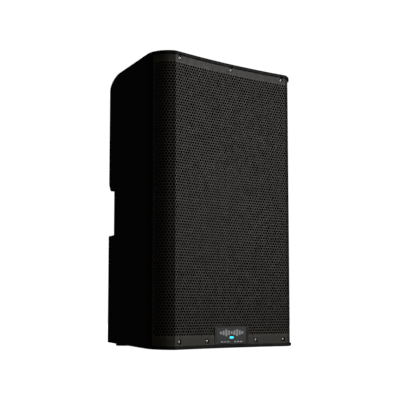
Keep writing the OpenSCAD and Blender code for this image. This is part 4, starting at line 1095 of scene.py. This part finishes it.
def make_stage():
    """A round pale cove: a floor that curves up into a wall.

    It lights nothing, so the black cabinet stays black.
    """
    outline = [(5.0 * k / 4, 0.0) for k in range(5)]
    bends = [math.pi / 24 * k for k in range(1, 13)]
    outline += [(5.0 + 2.0 * math.sin(a), 2.0 - 2.0 * math.cos(a)) for a in bends]
    outline.append((7.0, 9.0))
    sides = 96
    points = [(r * math.cos(a), r * math.sin(a), z) for r, z in outline[1:] for a in turns(sides)]
    faces = [(len(points), k, (k + 1) % sides) for k in range(sides)]
    for row in range(len(outline) - 2):
        low = row * sides
        for k in range(sides):
            after = (k + 1) % sides
            faces.append((low + k, low + sides + k, low + sides + after, low + after))
    mesh = bpy.data.meshes.new("floor")
    mesh.from_pydata([*points, (0, 0, 0)], [], faces)
    floor = bpy.data.objects.new("floor", mesh)
    bpy.context.scene.collection.objects.link(floor)
    mesh.shade_smooth()
    mesh.materials.append(look("pale_floor", grey(250), grey(247), (0.8, 0.9), "speckle", 3.0, 0.02, 400.0))
    shader = mesh.materials[0].node_tree.nodes["Principled BSDF"]
    shader.inputs["Emission Color"].default_value = (1, 1, 1, 1)
    shader.inputs["Emission Strength"].default_value = 1.0
    floor.visible_diffuse = floor.visible_glossy = floor.visible_transmission = False


def add_softbox(name, place, target, size, watts, colour=(1, 1, 1)):
    lamp = bpy.data.lights.new(name, "AREA")
    lamp.shape = "RECTANGLE"
    lamp.size, lamp.size_y = size
    lamp.energy = watts
    lamp.color = colour
    made = bpy.data.objects.new(name, lamp)
    made.location = place
    made.rotation_euler = (Vector(target) - Vector(place)).to_track_quat("-Z", "Y").to_euler()
    bpy.context.scene.collection.objects.link(made)
    return made


def around_object(azimuth, elevation, distance):
    """A place seen from the object's middle: azimuth 0 is in front, and positive to its right."""
    a, e = math.radians(azimuth), math.radians(elevation)
    height = CAB_H * MM / 2 + distance * math.sin(e)
    return (distance * math.sin(a) * math.cos(e), -distance * math.cos(a) * math.cos(e), height)


def make_lights():
    middle = (0, 0, CAB_H * MM * 0.6)
    add_softbox("key", around_object(40, 13, 2.4), middle, (1.2, 1.6), 21)
    add_softbox("fill", around_object(-24, 14, 2.6), middle, (0.6, 1.2), 3.5)
    add_softbox("back", around_object(132, 24, 2.6), middle, (1.6, 1.4), 18)
    world = bpy.data.worlds.new("studio")
    world.use_nodes = True
    world.node_tree.nodes["Background"].inputs["Color"].default_value = (1, 1, 1, 1)
    world.node_tree.nodes["Background"].inputs["Strength"].default_value = 0.02
    bpy.context.scene.world = world


def make_camera():
    data = bpy.data.cameras.new("camera")
    data.sensor_width = 36.0
    data.lens = 76.8
    data.shift_y = 0.08
    camera = bpy.data.objects.new("camera", data)
    camera.location = (-0.9820, -1.3221, 0.0681)
    camera.rotation_euler = (math.radians(90 + 5.25), 0, -math.radians(37.63))
    bpy.context.scene.collection.objects.link(camera)
    bpy.context.scene.camera = camera


make_camera()
make_grille()
make_grille_foam()
make_grille_screws()
make_badge()
make_front_baffle()
make_rear_shell()
make_damping()
make_print()
dress_cad_nodes()
make_stage()
make_lights()
bpy.context.scene.view_settings.view_transform = "Standard"
